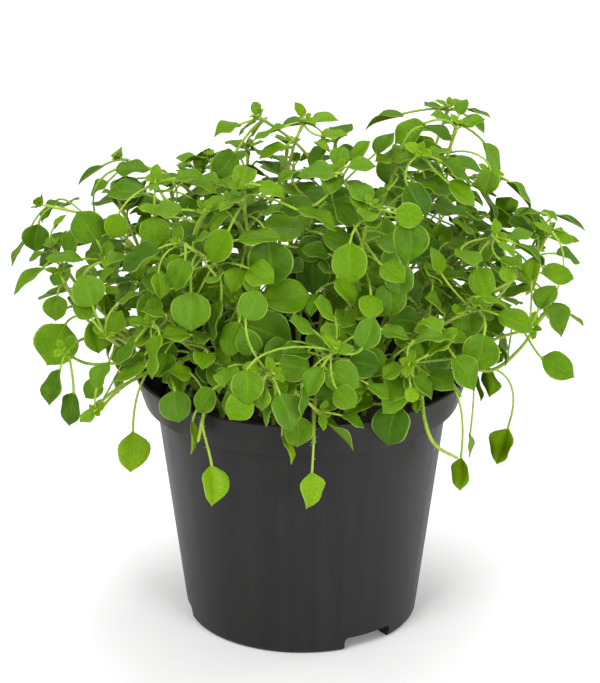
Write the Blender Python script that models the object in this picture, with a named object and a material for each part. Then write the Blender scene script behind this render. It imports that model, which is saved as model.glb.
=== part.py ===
"""Potted chickweed: a young plant of many leafy stems, in soil, in a round plastic pot.

Metres, +Z up. The origin is the middle of the pot's flat underside and -Y is the front.
Sizes and places are named below in millimetres, and meshes are made in metres.
"""

import math
import random
from itertools import product

import bmesh
import bpy
import numpy as np
from mathutils import Vector
from mathutils.bvhtree import BVHTree

MM = 0.001
UP = Vector((0, 0, 1))

# Pot
RIM_R = 60.0
POT_HEIGHT = 95.3
BASE_R = 41.7
BASE_ROUND = 2.0
LEDGE_Z = 82.7
LEDGE_INNER_R = 52.1
LEDGE_OUTER_R = 56.3
WALL = 1.1
FLOOR = 1.4
POT_SIDES = 48

# Drain notches in the bottom edge, and drain holes in the floor
NOTCH_COUNT = 3
NOTCH_FIRST_ANGLE = math.radians(35)
NOTCH_WIDTH = 19.5
NOTCH_HEIGHT = 5.0
NOTCH_CORNER = 1.5
NOTCH_INNER_R = 33.0
DRAIN_R = 4.0
DRAIN_SIDES = 8
DRAIN_RING_R = 20.0

# Soil
SOIL_TOP = 81.0
SOIL_RELIEF = 0.9
SOIL_GAP = 0.35
SOIL_RINGS = (14.0, 28.0, 42.0)
HOLE_DEPTH = 12.0
HOLE_R = 1.6
HOLE_SIDES = 4
SOIL_SIDES = 24
SOIL_EDGE_DROP = 1.5

# Plant: stems
STEM_R = 0.8
STEM_TIP_R = 0.5
SIDE_ROOT_R = 0.38
MAIN_PIECES = 6
SIDE_PIECES = 3
CURVE_PIECES = 12
ROOT_DEPTH = HOLE_DEPTH - 0.3
ROOT_REACH = 44.0
ROOT_SPACING = 7.4
ROOT_TOWARDS_TIP = 0.46
UPRIGHT_FOOT = (2.0, 9.0)
RULED_STEMS = 52
LOWEST_POLAR = 1.12
TIP_DEPTH = 8.0
STEM_SPACING = 30.0
SHOOT_SPREAD = 21.0
SHORTEST_SHOOT = 18.0
SHOOT_CROWDING = 0.9
STEM_TRIES = 60
SHOOT_TRIES = 16
SHOOT_KNEE = 0.25
PATH_STEP = 2.0

# Plant: side shoots towards the leaves seen in front
SHOOT_SERVES = (2, 1)
SHOOT_REACH = (9.0, 36.0)
SHOOT_AIMS = 10
SHOOT_APART = 3.5
SHOOT_LEAN = 0.9
LOWEST_SHOOT = 7
SERVED = 10.0
NODE_BEHIND = 5.0

# Plant: the mound that the leaves fill, a rounded shape that narrows to the pot below
MOUND_X = 98.0
MOUND_Y = 88.0
MOUND_Z = 116.0
MOUND_TOPS_AT = (-98, -50, -20, 20, 50, 60, 72, 98)
MOUND_TOPS = (170, 177, 186, 187, 191, 190, 174, 172)
BACK_FROM_Y = 15.0
BACK_SLOPE = 0.3
MOUND_ROUND = 2.5
MOUND_MIDDLE_Z = 104.0
HANG_Z = 90.0
HANG_R = 66.0

# Plant: leaves
MOST_PAIR_LEAVES = 186
PAIR_TRIES = 14
AIRY_Z = 158.0
TIP_PAIR = 5.0
LONGEST_UPRIGHT = 11.8
NODDING_Z = 145.0
UPRIGHT = 0.5
MOST_CROWDING = 1.03
FRONT_SIDE = -0.15
TOP_SIDE = 0.85
CLEARANCE = 0.4
FLAT_ANGLES = [math.radians(angle) for angle in (3, 2, 1, 0.4, 0.1, 0)]
STALK_R = 0.45
BLADE_EDGE = 0.25
BLADE_KEEL = 0.45
LEAF_ROUNDNESS = 0.86
NARROWEST = 0.9
MIDDLE = 0.48
LONG_STALK = 13.0
LEAST_STRAIGHT = 0.15
STALK_STEPS = (0.0, 0.5)
ROOT_SHARE = 0.45
BLADE_STEPS = (0.0, 0.24, 0.74)
WIDEST_LOW = 0.86
ROUNDNESS = 0.6
OWN_STALK_FREE = 0.35
LOWEST_LEAF = 8.0

# Plant: what decides the stem that a front leaf grows from
BEST_STALK = 7.0
SHORTEST_STALK = 3.0
LONGEST_STALKS = (17.0, 24.0, 34.0)
STALK_COST = 0.8
BEND_COST = 9.0
BACKWARD_COST = 6.0
LOAD_COST = 0.5

# Owners, in the list of what is placed, of what isn't a stem
RIM = -1
SOIL = -2

# One seed for each set of random draws
ROUTE_SEED = 3
SHOOT_SEED = 5
FRONT_SEED = 11
PAIR_SEED = 17

# The front view, from this point and this far below the level. Places seen in it are
# millimetres across and up on an upright sheet that stands this far along the line of view.
VIEW_POINT = Vector((-0.6, -1000.0, 487.5))
VIEW_PITCH = 0.367
VIEW_SHEET = 1075.4
AHEAD = Vector((0, math.cos(VIEW_PITCH), -math.sin(VIEW_PITCH)))
ABOVE = Vector((0, math.sin(VIEW_PITCH), math.cos(VIEW_PITCH)))
ACROSS = Vector((1, 0, 0))
NEAREST_SHARE = 0.84
SHARE_STEP = 0.001
SHARE_STEPS = 240
LEAF_SHARE = 0.0015
LEAF_SHARE_STEP = 0.0025
LEAF_SHARE_STEPS = 22

# Stems with a place of their own: where each stands in the soil, then the points it passes
PLACED_STEMS = (
    ((-41, -10), (-50, -22, 101), (-62, -36, 100), (-70, -42, 93)),
    ((-28, -34), (-31, -48, 103), (-33, -59, 100), (-35, -66, 92)),
    ((4, -43), (4, -54, 102), (4, -63, 99), (4, -68, 92)),
    ((42, -8), (54, -14, 100), (64, -18, 98), (76, -12, 104), (86, -4, 116)),
    ((31, -29), (39, -38, 106), (41, -52, 99), (44, -57, 89), (54, -45, 77)),
    ((40, -19), (48, -31, 103), (55, -40, 98)),
    ((36, 2), (52, -8, 104), (69, -14, 106)),
    ((25, 6), (38, 10, 130), (48, 8, 160), (54, 4, 182)),
    ((37, 13), (62, 12, 112), (80, 8, 128), (87, 5, 143)),
    ((31, -7), (46, -4, 120), (60, 0, 150)),
    ((5, 15), (10, 20, 130), (12, 22, 171)),
    ((-6, 11), (-8, 17, 130), (-5, 20, 170)),
    ((-13, 18), (-20, 24, 130), (-19, 26, 167)),
    ((-20, 8), (-30, 14, 130), (-32, 20, 165)),
    ((-27, 0), (-40, 4, 125), (-46, 8, 158)),
    ((-33, 8), (-52, 8, 122), (-65, 4, 157)),
    ((-40, 1), (-66, 0, 110), (-80, -1, 126), (-87, -2, 139)),
    ((-37, -7), (-60, -12, 108), (-78, -14, 122)),
    ((-35, -17), (-52, -24, 106), (-70, -26, 104), (-81, -26, 108)),
    ((-22, -25), (-34, -38, 112), (-46, -50, 112)),
    ((-10, -34), (-14, -48, 112), (-16, -60, 112)),
    ((17, -37), (20, -50, 108), (22, -62, 110)),
    ((14, -20), (20, -32, 120), (26, -48, 132)),
    ((-12, -18), (-16, -30, 122), (-22, -46, 136)),
    ((-2, -8), (0, -14, 125), (2, -26, 152)),
    ((22, -14), (36, -20, 122), (46, -30, 140)),
    ((-24, -12), (-36, -20, 122), (-46, -30, 140)),
)

# Leaves seen in the front view: across, up, length, width, and the way the tip points,
# in degrees clockwise from up. Each stands at the mound's surface or as far behind it as it
# must to be clear of the leaves before it.
FRONT_LEAVES = (
    (-75, 60, 11.1, 2.9, -118), (-62, 53, 12.9, 12.5, 178), (-60, 62, 12.1, 7.1, 82),
    (-90, 47, 9.6, 5, -140), (-94, 37, 10.4, 10, 188), (-101, 32, 10.7, 2.5, 207),
    (-76, 41, 12.5, 12.1, -35), (-82, 35, 9.3, 7.1, 192), (-66, 41, 9.6, 8.6, 195),
    (-70, 34, 15.7, 4.6, -100), (-84, 30, 12.9, 4.3, -88), (-97, 22, 14.3, 4.6, -125),
    (-76, 18, 11.8, 11.8, -20), (-61, 16, 8.9, 3.2, 64), (-52, 39, 11.4, 10.7, 180),
    (-57, 30, 15, 7.9, -112), (-42, 39, 12.9, 6.4, 55), (-47, 47, 10, 6.4, -88),
    (-38, 47, 12.1, 7.9, 92), (-51, 11, 16.4, 15, 176), (-43, 24, 11.4, 9.3, 200),
    (-87, 12, 8.9, 8.6, 185), (-77, 12, 9.3, 8.6, -35), (-87, -1, 16.4, 15.7, 205),
    (-72, 2, 12.9, 10.7, 172), (-88, -16, 12.9, 7.1, 196), (-71, -12, 10.7, 7.1, 10),
    (-82, -24, 12.1, 8.6, 200), (-73, -24, 10, 3.6, 214), (-60, -39, 15.4, 12.1, 179),
    (-52, -41, 13.6, 5, 152), (-61, -11, 12.1, 5.7, -98), (-62, -4, 10, 4.6, 215),
    (-52, -5, 15, 6.4, 190), (-44, -23, 11.8, 11.1, 173), (-38, -34, 11.8, 2.9, 172),
    (-39, 11, 13.6, 13.6, 180), (-31, -51, 14.6, 10.7, 177), (-26, 76, 10.4, 4.3, -112),
    (-27, 63, 12.1, 10, -140), (-10, 68, 10, 5, -98), (-1, 78, 11.8, 3.6, 78),
    (-11, 75, 12.1, 3.6, -110), (12, 74, 9.3, 3.9, 72), (6, 66, 9.3, 6.1, -145),
    (6, 60, 12.9, 7.1, -92), (10, 50, 19.3, 10, 97), (-10, 54, 9.3, 6.4, 112),
    (-6, 41, 15.7, 10.7, -85), (-1, 48, 11.4, 8.6, -95), (6, 44, 15, 5.7, 112),
    (19, 46, 14.3, 10.7, 105), (29, 38, 12.9, 11.4, 192), (14, 36, 12.9, 9.3, 112),
    (4, 33, 10.7, 9.3, 95), (-15, 37, 15, 6.1, 85), (-29, 34, 12.9, 10.4, 215),
    (-11, 28, 16.4, 15.7, 180), (30, 71, 10, 6.4, 30), (33, 62, 13.6, 11.4, 178),
    (21, 68, 10, 5.4, 35), (22, 63, 9.6, 5.7, 85), (30, 80, 14.3, 3.2, -102),
    (27, 52, 10, 4.6, -112), (-30, 22, 14.3, 13.6, 5), (-17, 22, 9.6, 6.4, 0),
    (-17, 13, 11.1, 10, 25), (-5, 16, 17.1, 12.9, 82), (-30, 8, 14.3, 5, 207),
    (-11, 3, 16.4, 15.7, 112), (-24, 1, 12.9, 9.3, 202), (-29, -10, 15.7, 9.6, 190),
    (-19, -16, 11.8, 11.1, 180), (-22, -23, 11.1, 9.6, 212), (-2, -9, 11.8, 10.7, 102),
    (5, -14, 11.4, 7.1, 215), (15, -13, 12.9, 11.1, 118), (16, 12, 10.7, 9.6, 100),
    (11, 1, 11.8, 5.7, 64), (24, 3, 11.4, 9.3, 20), (21, -7, 12.1, 8.6, 195),
    (-5, -25, 12.9, 10.7, 160), (-11, -25, 9.6, 5, 200), (-1, -32, 11.4, 10, 180),
    (20, -21, 12.9, 9.3, -75), (19, -28, 8.9, 3.6, 102), (1, -22, 10.7, 2.9, 175),
    (33, -30, 15.4, 12.9, 198), (32, 15, 12.1, 10.7, 180), (-14, -20, 9.3, 6.8, 192),
    (48, 82, 13.6, 6.4, -112), (63, 78, 8.9, 4.6, 122), (49, 75, 11.4, 4.3, 112),
    (39, 75, 12.9, 9.3, -110), (69, 66, 12.5, 6.1, 140), (60, 63, 11.4, 6.1, 100),
    (56, 61, 13.6, 5, 118), (67, 57, 8.9, 8.6, 195), (58, 53, 11.8, 7.1, 130),
    (47, 68, 10.7, 7.1, 112), (45, 63, 12.9, 5, 95), (42, 51, 12.9, 10.4, 140),
    (36, 54, 8.9, 6.1, -60), (46, 55, 10, 4.3, 108), (54, 47, 13.2, 6.8, 110),
    (79, 53, 13.2, 2.5, 120), (94, 37, 9.6, 5.4, 92), (92, 24, 11.8, 7.5, 95),
    (83, 26, 8.9, 6.4, 5), (63, 32, 15.7, 7.9, 148), (69, 34, 12.9, 6.4, 120),
    (82, 32, 10.7, 2.5, 115), (78, 18, 12.1, 4.3, -98), (88, 16, 10.7, 7.5, 25),
    (92, 8, 12.9, 9.3, 152), (77, 7, 13.6, 8.9, 112), (48, 20, 15.7, 13.6, 200),
    (49, 29, 10, 5.7, -18), (56, 23, 12.1, 5, 95), (65, 21, 11.4, 9.6, 160),
    (61, 17, 12.9, 5, -85), (69, 14, 10.7, 3.6, 115), (60, 8, 14.3, 11.8, 180),
    (64, -4, 13.6, 12.9, 195), (59, -11, 13.6, 10, 145), (60, -5, 12.1, 2.9, 85),
    (47, 1, 12.1, 4.3, 80), (40, -3, 10, 6.1, -52), (50, -2, 9.6, 4.3, 60),
    (41, -9, 12.9, 11.1, 188), (44, -16, 10, 5.7, 130), (37, 8, 10.7, 9.3, 132),
    (34, 3, 10, 5.7, 100), (36, 22, 11.4, 10, 180), (92, -9, 13.2, 10, 122),
    (72, -37, 14.3, 9.6, 205), (57, -47, 12.1, 6.8, 185), (4, -53, 13.6, 9.6, 178),
    (-4, -38, 10.7, 3.2, 148), (-40, 59, 9.3, 5, 80), (-34, 55, 12.1, 4.3, 100),
    (50, 36, 12.9, 10, 175), (39, 36, 13.6, 12.1, 178), (18, 28, 14.3, 12.1, 180),
    (5, 24, 14.3, 12.1, 178), (-21, 15, 9.3, 7.9, 190), (-38, 33, 10.7, 8.6, 185),
    (-50, 20, 9.3, 7.1, 170), (30, 26, 10.7, 7.1, 80), (14, 52, 10.7, 7.9, 60),
    (39, 45, 10, 8.6, 100), (-16, 47, 10.7, 5, -80),
)

# Leaf pairs down from the tip of a shoot: how far below the tip, blade length, stalk length
PAIR_STEPS = (
    (0.5, 9.5, 2.0),
    (10.0, 12.5, 6.0),
    (22.0, 13.5, 11.0),
    (36.0, 13.5, 14.0),
)

POT_COLOUR = (0.055, 0.052, 0.056)
SOIL_COLOUR = (0.03, 0.02, 0.013)
LEAF_COLOUR = (0.13, 0.27, 0.02)


def smooth_step(value):
    value = min(1.0, max(0.0, value))
    return value * value * (3 - 2 * value)


def crowding(point):
    """Under 1 inside the mound of leaves, 1 on its surface and more outside."""
    blend = smooth_step((point.z - HANG_Z) / (MOUND_Z - HANG_Z))
    across = HANG_R + (MOUND_X - HANG_R) * blend
    along = HANG_R + (MOUND_Y - HANG_R) * blend
    spread = math.hypot(point.x / across, point.y / along)
    top = np.interp(point.x, MOUND_TOPS_AT, MOUND_TOPS)
    top -= max(0.0, point.y - BACK_FROM_Y) * BACK_SLOPE
    rise = max(0.0, point.z - MOUND_Z) / (top - MOUND_Z)
    return (spread**MOUND_ROUND + rise**MOUND_ROUND) ** (1 / MOUND_ROUND)


def outward(point):
    """The way out of the mound at a point."""
    step = 1.5
    slope = [
        crowding(point + axis * step) - crowding(point - axis * step)
        for axis in (Vector((1, 0, 0)), Vector((0, 1, 0)), UP)
    ]
    return Vector(slope).normalized()


def mound_point(azimuth, polar, depth):
    """The point this deep under the mound's surface in a direction from its middle."""
    middle = UP * MOUND_MIDDLE_Z
    way = Vector(
        (
            math.sin(polar) * math.cos(azimuth),
            math.sin(polar) * math.sin(azimuth),
            math.cos(polar),
        )
    )
    low = 0.0
    high = MOUND_X + MOUND_Z
    for _ in range(24):
        half = (low + high) / 2
        if crowding(middle + way * half) < 1:
            low = half
        else:
            high = half
    return middle + way * (low - depth)


def view_depth(across, up):
    """How far along the line of view the mound's surface is, or the point nearest to it."""
    way = AHEAD * VIEW_SHEET + ACROSS * across + ABOVE * up
    best = (math.inf, 1.0)
    for step in range(SHARE_STEPS):
        share = NEAREST_SHARE + step * SHARE_STEP
        value = crowding(VIEW_POINT + way * share)
        if value < 1:
            return way, share
        best = min(best, (value, share))
    return way, best[1]


def smooth_path(points, pieces):
    """Points of a smooth curve through the given ones, with this many pieces between two."""
    ends = [points[0] * 2 - points[1], *points, points[-1] * 2 - points[-2]]
    path = [points[0].copy()]
    for before, start, end, after in zip(ends, ends[1:], ends[2:], ends[3:]):
        for piece in range(1, pieces + 1):
            t = piece / pieces
            path.append(
                (
                    start * 2
                    + (end - before) * t
                    + (before * 2 - start * 5 + end * 4 - after) * t * t
                    + (start * 3 - before - end * 3 + after) * t * t * t
                )
                / 2
            )
    return path


def tube_rings(path, start_r, end_r, sides, grow=0.0):
    """Rings of points round a path, turned as little as they can be from one to the next."""
    rings = []
    side = (path[1] - path[0]).orthogonal().normalized()
    for i, point in enumerate(path):
        ahead = (path[min(i + 1, len(path) - 1)] - path[max(i - 1, 0)]).normalized()
        side = (side - ahead * side.dot(ahead)).normalized()
        other = ahead.cross(side)
        radius = start_r + (end_r - start_r) * i / (len(path) - 1) + grow
        rings.append(
            [
                point + (side * math.cos(a) + other * math.sin(a)) * radius
                for a in (math.tau * k / sides for k in range(sides))
            ]
        )
    return rings


def loft(rings, tip=None):
    """A closed solid through rings of points, ending flat or in a point."""
    count = len(rings[0])
    points = [point for ring in rings for point in ring]
    faces = []
    for r in range(len(rings) - 1):
        for k in range(count):
            a = r * count + k
            b = r * count + (k + 1) % count
            faces += [(a, b, b + count), (a, b + count, a + count)]
    last = (len(rings) - 1) * count
    for k in range(1, count - 1):
        faces.append((0, k + 1, k))
    if tip is None:
        for k in range(1, count - 1):
            faces.append((last, last + k, last + k + 1))
    else:
        points.append(tip)
        for k in range(count):
            faces.append((last + k, last + (k + 1) % count, len(points) - 1))
    volume = sum(points[a].dot(points[b].cross(points[c])) for a, b, c in faces)
    if volume < 0:
        faces = [face[::-1] for face in faces]
    return points, faces


def outline(t):
    """Half the width of a leaf blade at t from its base to its tip, as a share of the most."""
    return (1 - (2 * t**WIDEST_LOW - 1) ** 2) ** ROUNDNESS


class Leaf:
    """A leaf: its stalk from the stem to the blade's base, and the blade's length and lie."""

    def __init__(self, root, bend, base, axis, normal, length, width, droop):
        self.root = root
        self.bend = bend
        self.base = base
        self.axis = axis
        self.normal = (normal - axis * normal.dot(axis)).normalized()
        self.side = self.axis.cross(self.normal)
        self.length = length
        self.width = width
        self.droop = droop

    def stalk(self, t):
        """The point on the stalk at t, and the sideways and upward directions there."""
        point = self.root * (1 - t) ** 2 + self.bend * (2 * t * (1 - t)) + self.base * t * t
        straight = (self.base - self.root).normalized()
        ahead = (straight * (1 - t) + self.axis * t).normalized()
        turn = self.axis.rotation_difference(ahead)
        return point, turn @ self.side, turn @ self.normal

    def midrib(self, t):
        """The point on the midrib at t, and the upper side's normal there."""
        point = (
            self.base
            + self.axis * (self.length * t)
            - self.normal * (self.droop * self.length * t * t)
        )
        return point, (self.normal + self.axis * (2 * self.droop * t)).normalized()

    def solid(self, grow=0.0, from_stalk=0.0):
        """Rings of three points: the two margins and the keel under the midrib."""
        rings = []
        bent = (self.base - self.root).length > LONG_STALK
        for step in STALK_STEPS if bent else STALK_STEPS[:1]:
            t = max(step, from_stalk)
            point, side, normal = self.stalk(t)
            share = ROOT_SHARE if t == 0 else 1
            rings.append(ring_of(point, normal, side, STALK_R * share, share, grow))
        for t in BLADE_STEPS:
            point, normal = self.midrib(t)
            half = max(STALK_R * 1.3, outline(t) * self.width / 2)
            rings.append(ring_of(point, normal, self.side, half, 1, grow))
        tip = self.midrib(1.0)[0] + self.axis * grow
        return loft(rings, tip)


def ring_of(point, normal, side, half, share, grow):
    """Three points round a leaf's middle line: its two margins, and its keel."""
    edge = normal * (BLADE_EDGE * share + grow)
    return [
        point - side * (half + grow) + edge,
        point + side * (half + grow) + edge,
        point - normal * (BLADE_KEEL * share + grow),
    ]


class Crowd:
    """Every solid placed so far, to keep the next one clear of them."""

    def __init__(self):
        self.trees = []
        self.owners = []
        self.balls = np.zeros((0, 4))

    def add(self, points, faces, owner):
        centre, reach = ball(points)
        self.trees.append(BVHTree.FromPolygons(points, faces))
        self.owners.append(owner)
        self.balls = np.vstack([self.balls, [*centre, reach]])

    def meets(self, points, faces, others_of=None, only=None):
        """True if the solid meets one of another owner, or one of the owner given as only."""
        centre, reach = ball(points)
        apart = np.linalg.norm(self.balls[:, :3] - np.array(centre), axis=1)
        near = np.nonzero(apart < self.balls[:, 3] + reach)[0]
        tree = None
        for i in near:
            if only is not None and self.owners[i] != only:
                continue
            if others_of is not None and self.owners[i] == others_of:
                continue
            if tree is None:
                tree = BVHTree.FromPolygons(points, faces)
            if self.trees[i].overlap(tree):
                return True
        return False


def ball(points):
    centre = sum(points, Vector()) / len(points)
    return centre, max((point - centre).length for point in points)


class Stem:
    """One leafy stem: the corners of its shoots, the close points on them, and its leaves."""

    def __init__(self, corners):
        self.shoots = []
        self.paths = []
        self.leaves = []
        self.add_shoot(corners)

    def add_shoot(self, corners):
        self.shoots.append(corners)
        self.paths.append(close_points(corners))

    def has_room(self, corners):
        """True if a side shoot starts off the others' roots and soon leaves its own stem."""
        root, knee = corners[:2]
        if any((other[0] - root).length < SHOOT_APART for other in self.shoots[1:]):
            return False
        return all((knee - point).length > SHOOT_APART for path in self.paths for point in path)


def thinned(path, pieces):
    """The path's points at even steps, first and last kept."""
    last = len(path) - 1
    return [path[round(last * k / pieces)] for k in range(pieces + 1)]


def shoot_solid(corners, shoot, grow=0.0):
    """A three-sided tube through a shoot's corners; a side shoot starts thin, inside its stem."""
    thick = STEM_R if shoot == 0 else SIDE_ROOT_R
    return loft(tube_rings(corners, thick, STEM_TIP_R, 3, grow))


def close_points(corners):
    """Points about a step apart along straight runs between the corners."""
    path = [corners[0].copy()]
    for start, end in zip(corners, corners[1:]):
        pieces = max(1, round((end - start).length / PATH_STEP))
        path += [start.lerp(end, k / pieces) for k in range(1, pieces + 1)]
    return path


def rim_solid():
    """The pot's collar and wall with a margin, which leaves and stems keep off."""
    spare = CLEARANCE + 0.3
    thick = 5.0
    profile = (
        (RIM_R + spare, POT_HEIGHT + spare),
        (LEDGE_OUTER_R + spare, LEDGE_Z - spare),
        (LEDGE_INNER_R + spare, LEDGE_Z - spare),
        (BASE_R + spare, 0.0),
        (BASE_R - thick, 0.0),
        (LEDGE_INNER_R - WALL - spare, LEDGE_Z),
        (LEDGE_OUTER_R - WALL - spare, LEDGE_Z + WALL + spare),
        (RIM_R - WALL - spare, POT_HEIGHT + spare),
    )
    points = []
    for k in range(POT_SIDES):
        a = math.tau * k / POT_SIDES
        points += [Vector((r * math.cos(a), r * math.sin(a), z)) for r, z in profile]
    faces = []
    count = len(profile)
    for k in range(POT_SIDES):
        here = k * count
        beyond = (k + 1) % POT_SIDES * count
        for i in range(count):
            j = (i + 1) % count
            faces += [(here + i, beyond + i, beyond + j), (here + i, beyond + j, here + j)]
    return points, faces


def soil_solid():
    """A flat block up to the soil's highest bumps, which leaves keep off."""
    top = SOIL_TOP + SOIL_RELIEF + 1.0
    sides = (-LEDGE_INNER_R, LEDGE_INNER_R)
    points = [Vector((x, y, z)) for x in sides for y in sides for z in (0, top)]
    quads = ((0, 1, 3, 2), (4, 6, 7, 5), (0, 4, 5, 1), (2, 3, 7, 6), (0, 2, 6, 4), (1, 5, 7, 3))
    return points, [t for a, b, c, d in quads for t in ((a, b, c), (a, c, d))]


def stem_routes():
    """Where each stem stands, and the points that it passes."""
    rng = random.Random(ROUTE_SEED)
    routes = [
        (Vector((*root, 0)), [Vector(point) for point in points])
        for root, *points in PLACED_STEMS
    ]
    turn = math.pi * (3 - math.sqrt(5))
    for k in range(RULED_STEMS):
        polar = math.acos(1 - LOWEST_POLAR * (k + 0.5) / RULED_STEMS)
        tip = mound_point(k * turn, polar, TIP_DEPTH)
        if any((tip - points[-1]).length < STEM_SPACING for _, points in routes):
            continue
        if tip.y < -20 and tip.z < 150:  # the low front is left to the placed stems
            continue
        root = Vector((tip.x, tip.y, 0)) * ROOT_TOWARDS_TIP
        foot = root + UP * SOIL_TOP
        rise = (tip - foot).length
        sway = Vector((rng.uniform(-1, 1), rng.uniform(-1, 1), 0)) * 4
        low = smooth_step((150 - tip.z) / 60)
        bow = foot.lerp(tip, 0.45 + 0.2 * low) + UP * (rise * 0.14 + 12 * low) + sway
        routes.append((root, [bow, tip]))
    return spaced_roots(routes)


def spaced_roots(routes):
    """The routes with their roots pushed apart, and kept inside the pot."""
    roots = [root.copy() for root, _ in routes]
    for _ in range(60):
        for i, a in enumerate(roots):
            for b in roots[i + 1 :]:
                apart = b - a
                short = ROOT_SPACING - apart.length
                if short > 0:
                    push = apart.normalized() * (short / 2)
                    a -= push
                    b += push
        for root in roots:
            if root.length > ROOT_REACH:
                root *= ROOT_REACH / root.length
    return [(root, points) for root, (_, points) in zip(roots, routes)]


def grow_stems(crowd):
    """The stems and their side shoots, each clear of the others."""
    rng = random.Random(SHOOT_SEED)
    stems = []
    for root, points in stem_routes():
        foot = root + UP * SOIL_TOP
        owner = len(stems)
        for attempt in range(STEM_TRIES):
            sway = min(attempt, 14) * 0.6
            moved = [
                point + Vector([rng.uniform(-1, 1) * sway for _ in range(3)])
                for point in points
            ]
            upright = [foot + UP * height for height in UPRIGHT_FOOT]
            path = smooth_path([*upright, *moved], CURVE_PIECES)
            corners = [foot - UP * ROOT_DEPTH, *thinned(path, MAIN_PIECES)]
            if not crowd.meets(*shoot_solid(corners, 0, CLEARANCE)):
                stems.append(Stem(corners))
                crowd.add(*shoot_solid(corners, 0), owner)
                break
    add_wanted_shoots(stems, crowd)
    for owner, stem in enumerate(stems):
        if len(stem.shoots) > 1:
            continue
        signs = (1, -1) if owner % 2 else (-1, 1)
        for sign in signs:
            if add_side_shoot(stem, owner, sign, rng, crowd):
                break
    return stems


def wanted_nodes():
    """Where the stalk of each front leaf would best leave a stem: a little behind its base."""
    wanted = []
    for across, up, length, _, heading in FRONT_LEAVES:
        angle = math.radians(heading)
        axis = ACROSS * math.sin(angle) + ABOVE * math.cos(angle)
        way, share = view_depth(across, up)
        centre = VIEW_POINT + way * (share + LEAF_SHARE)
        wanted.append(centre - axis * (MIDDLE * length + BEST_STALK) + AHEAD * NODE_BEHIND)
    return np.array(wanted)


def far_from(nodes, path):
    """Which of the nodes are too far from a path for a short stalk."""
    gaps = nodes[:, None] - np.array(path)[None]
    return np.linalg.norm(gaps, axis=2).min(axis=1) > SERVED


def add_wanted_shoots(stems, crowd):
    """Side shoots to where front leaves want a stem and none is near, most wanted first."""
    wanted = wanted_nodes()
    for stem in stems:
        for path in stem.paths:
            wanted = wanted[far_from(wanted, path)]
    for least in SHOOT_SERVES:
        for owner, stem in enumerate(stems):
            best = (least - 1, None)
            for end in wanted_ends(stem.paths[0], wanted):
                corners = shoot_towards(stem.paths[0], end)
                served = np.count_nonzero(~far_from(wanted, close_points(corners)))
                if served <= best[0] or not stem.has_room(corners):
                    continue
                if not crowd.meets(*shoot_solid(corners, 1, CLEARANCE), others_of=owner):
                    best = (served, corners)
            if best[1]:
                stem.add_shoot(best[1])
                crowd.add(*shoot_solid(best[1], 1), owner)
                wanted = wanted[far_from(wanted, stem.paths[-1])]


def wanted_ends(main, wanted):
    """The wanted nodes nearest to a stem, of those in a side shoot's reach."""
    gaps = np.linalg.norm(wanted[:, None] - np.array(main)[None], axis=2).min(axis=1)
    order = np.argsort(gaps)
    fits = [i for i in order if SHOOT_REACH[0] < gaps[i] < SHOOT_REACH[1]]
    return [Vector(wanted[i]) for i in fits[:SHOOT_AIMS]]


def shoot_towards(main, end):
    """The corners of a side shoot that leaves its stem below the end and bends up to it."""
    near = min(range(len(main)), key=lambda i: (main[i] - end).length)
    down = round((main[near] - end).length * SHOOT_LEAN / PATH_STEP)
    start = min(max(near - down, LOWEST_SHOOT), len(main) - 3)
    return side_corners(main, start, end)


def side_corners(main, start, end):
    """The corners of a side shoot from a place on its stem, along it at first, to an end."""
    root = main[start]
    ahead = (main[start + 1] - main[start - 1]).normalized()
    straight = end - root
    knee = root + (ahead + straight.normalized()) * straight.length * SHOOT_KNEE
    return thinned(smooth_path([root, knee, end], CURVE_PIECES), SIDE_PIECES)


def add_side_shoot(stem, owner, sign, rng, crowd):
    """Tries side shoots to one side of the stem's tip, and adds the first that is clear."""
    main = stem.paths[0]
    tip = main[-1]
    along = UP.cross(outward(tip)).normalized()
    for _ in range(SHOOT_TRIES):
        start = round(len(main) * rng.uniform(0.5, 0.72))
        end = tip + along * sign * SHOOT_SPREAD * rng.uniform(0.8, 1.2)
        end += UP * rng.uniform(-12, 8)
        end -= outward(end) * max(0.0, (crowding(end) - SHOOT_CROWDING) * 80)
        corners = side_corners(main, start, end)
        if (end - main[start]).length <= SHORTEST_SHOOT or not stem.has_room(corners):
            continue
        if crowd.meets(*shoot_solid(corners, 1, CLEARANCE), others_of=owner):
            continue
        stem.add_shoot(corners)
        crowd.add(*shoot_solid(corners, 1), owner)
        return True
    return False


def leaf_is_clear(leaf, owner, crowd):
    """True if the leaf is off all other stems, and touches its own stem by its root alone."""
    if crowd.meets(*leaf.solid(grow=CLEARANCE), others_of=owner):
        return False
    return not crowd.meets(*leaf.solid(from_stalk=OWN_STALK_FREE), only=owner)


def keep_leaf(leaf, owner, stems, crowd):
    stems[owner].leaves.append(leaf)
    crowd.add(*leaf.solid(), owner)


def front_leaf_lie(heading, facing, rng):
    """Axis and normal of a blade seen pointing this way, turned so that it looks narrower."""
    angle = math.radians(heading)
    axis = ACROSS * math.sin(angle) + ABOVE * math.cos(angle)
    to_view = -AHEAD
    beside = axis.cross(to_view)
    turn = math.acos(min(1.0, facing))
    normal = max(
        (to_view * math.cos(turn) + beside * math.sin(turn) * sign for sign in (1, -1)),
        key=lambda way: way.z,
    )
    nod = rng.uniform(-0.1, 0.25)
    axis = (axis * math.cos(nod) - normal * math.sin(nod)).normalized()
    return axis, normal


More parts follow.
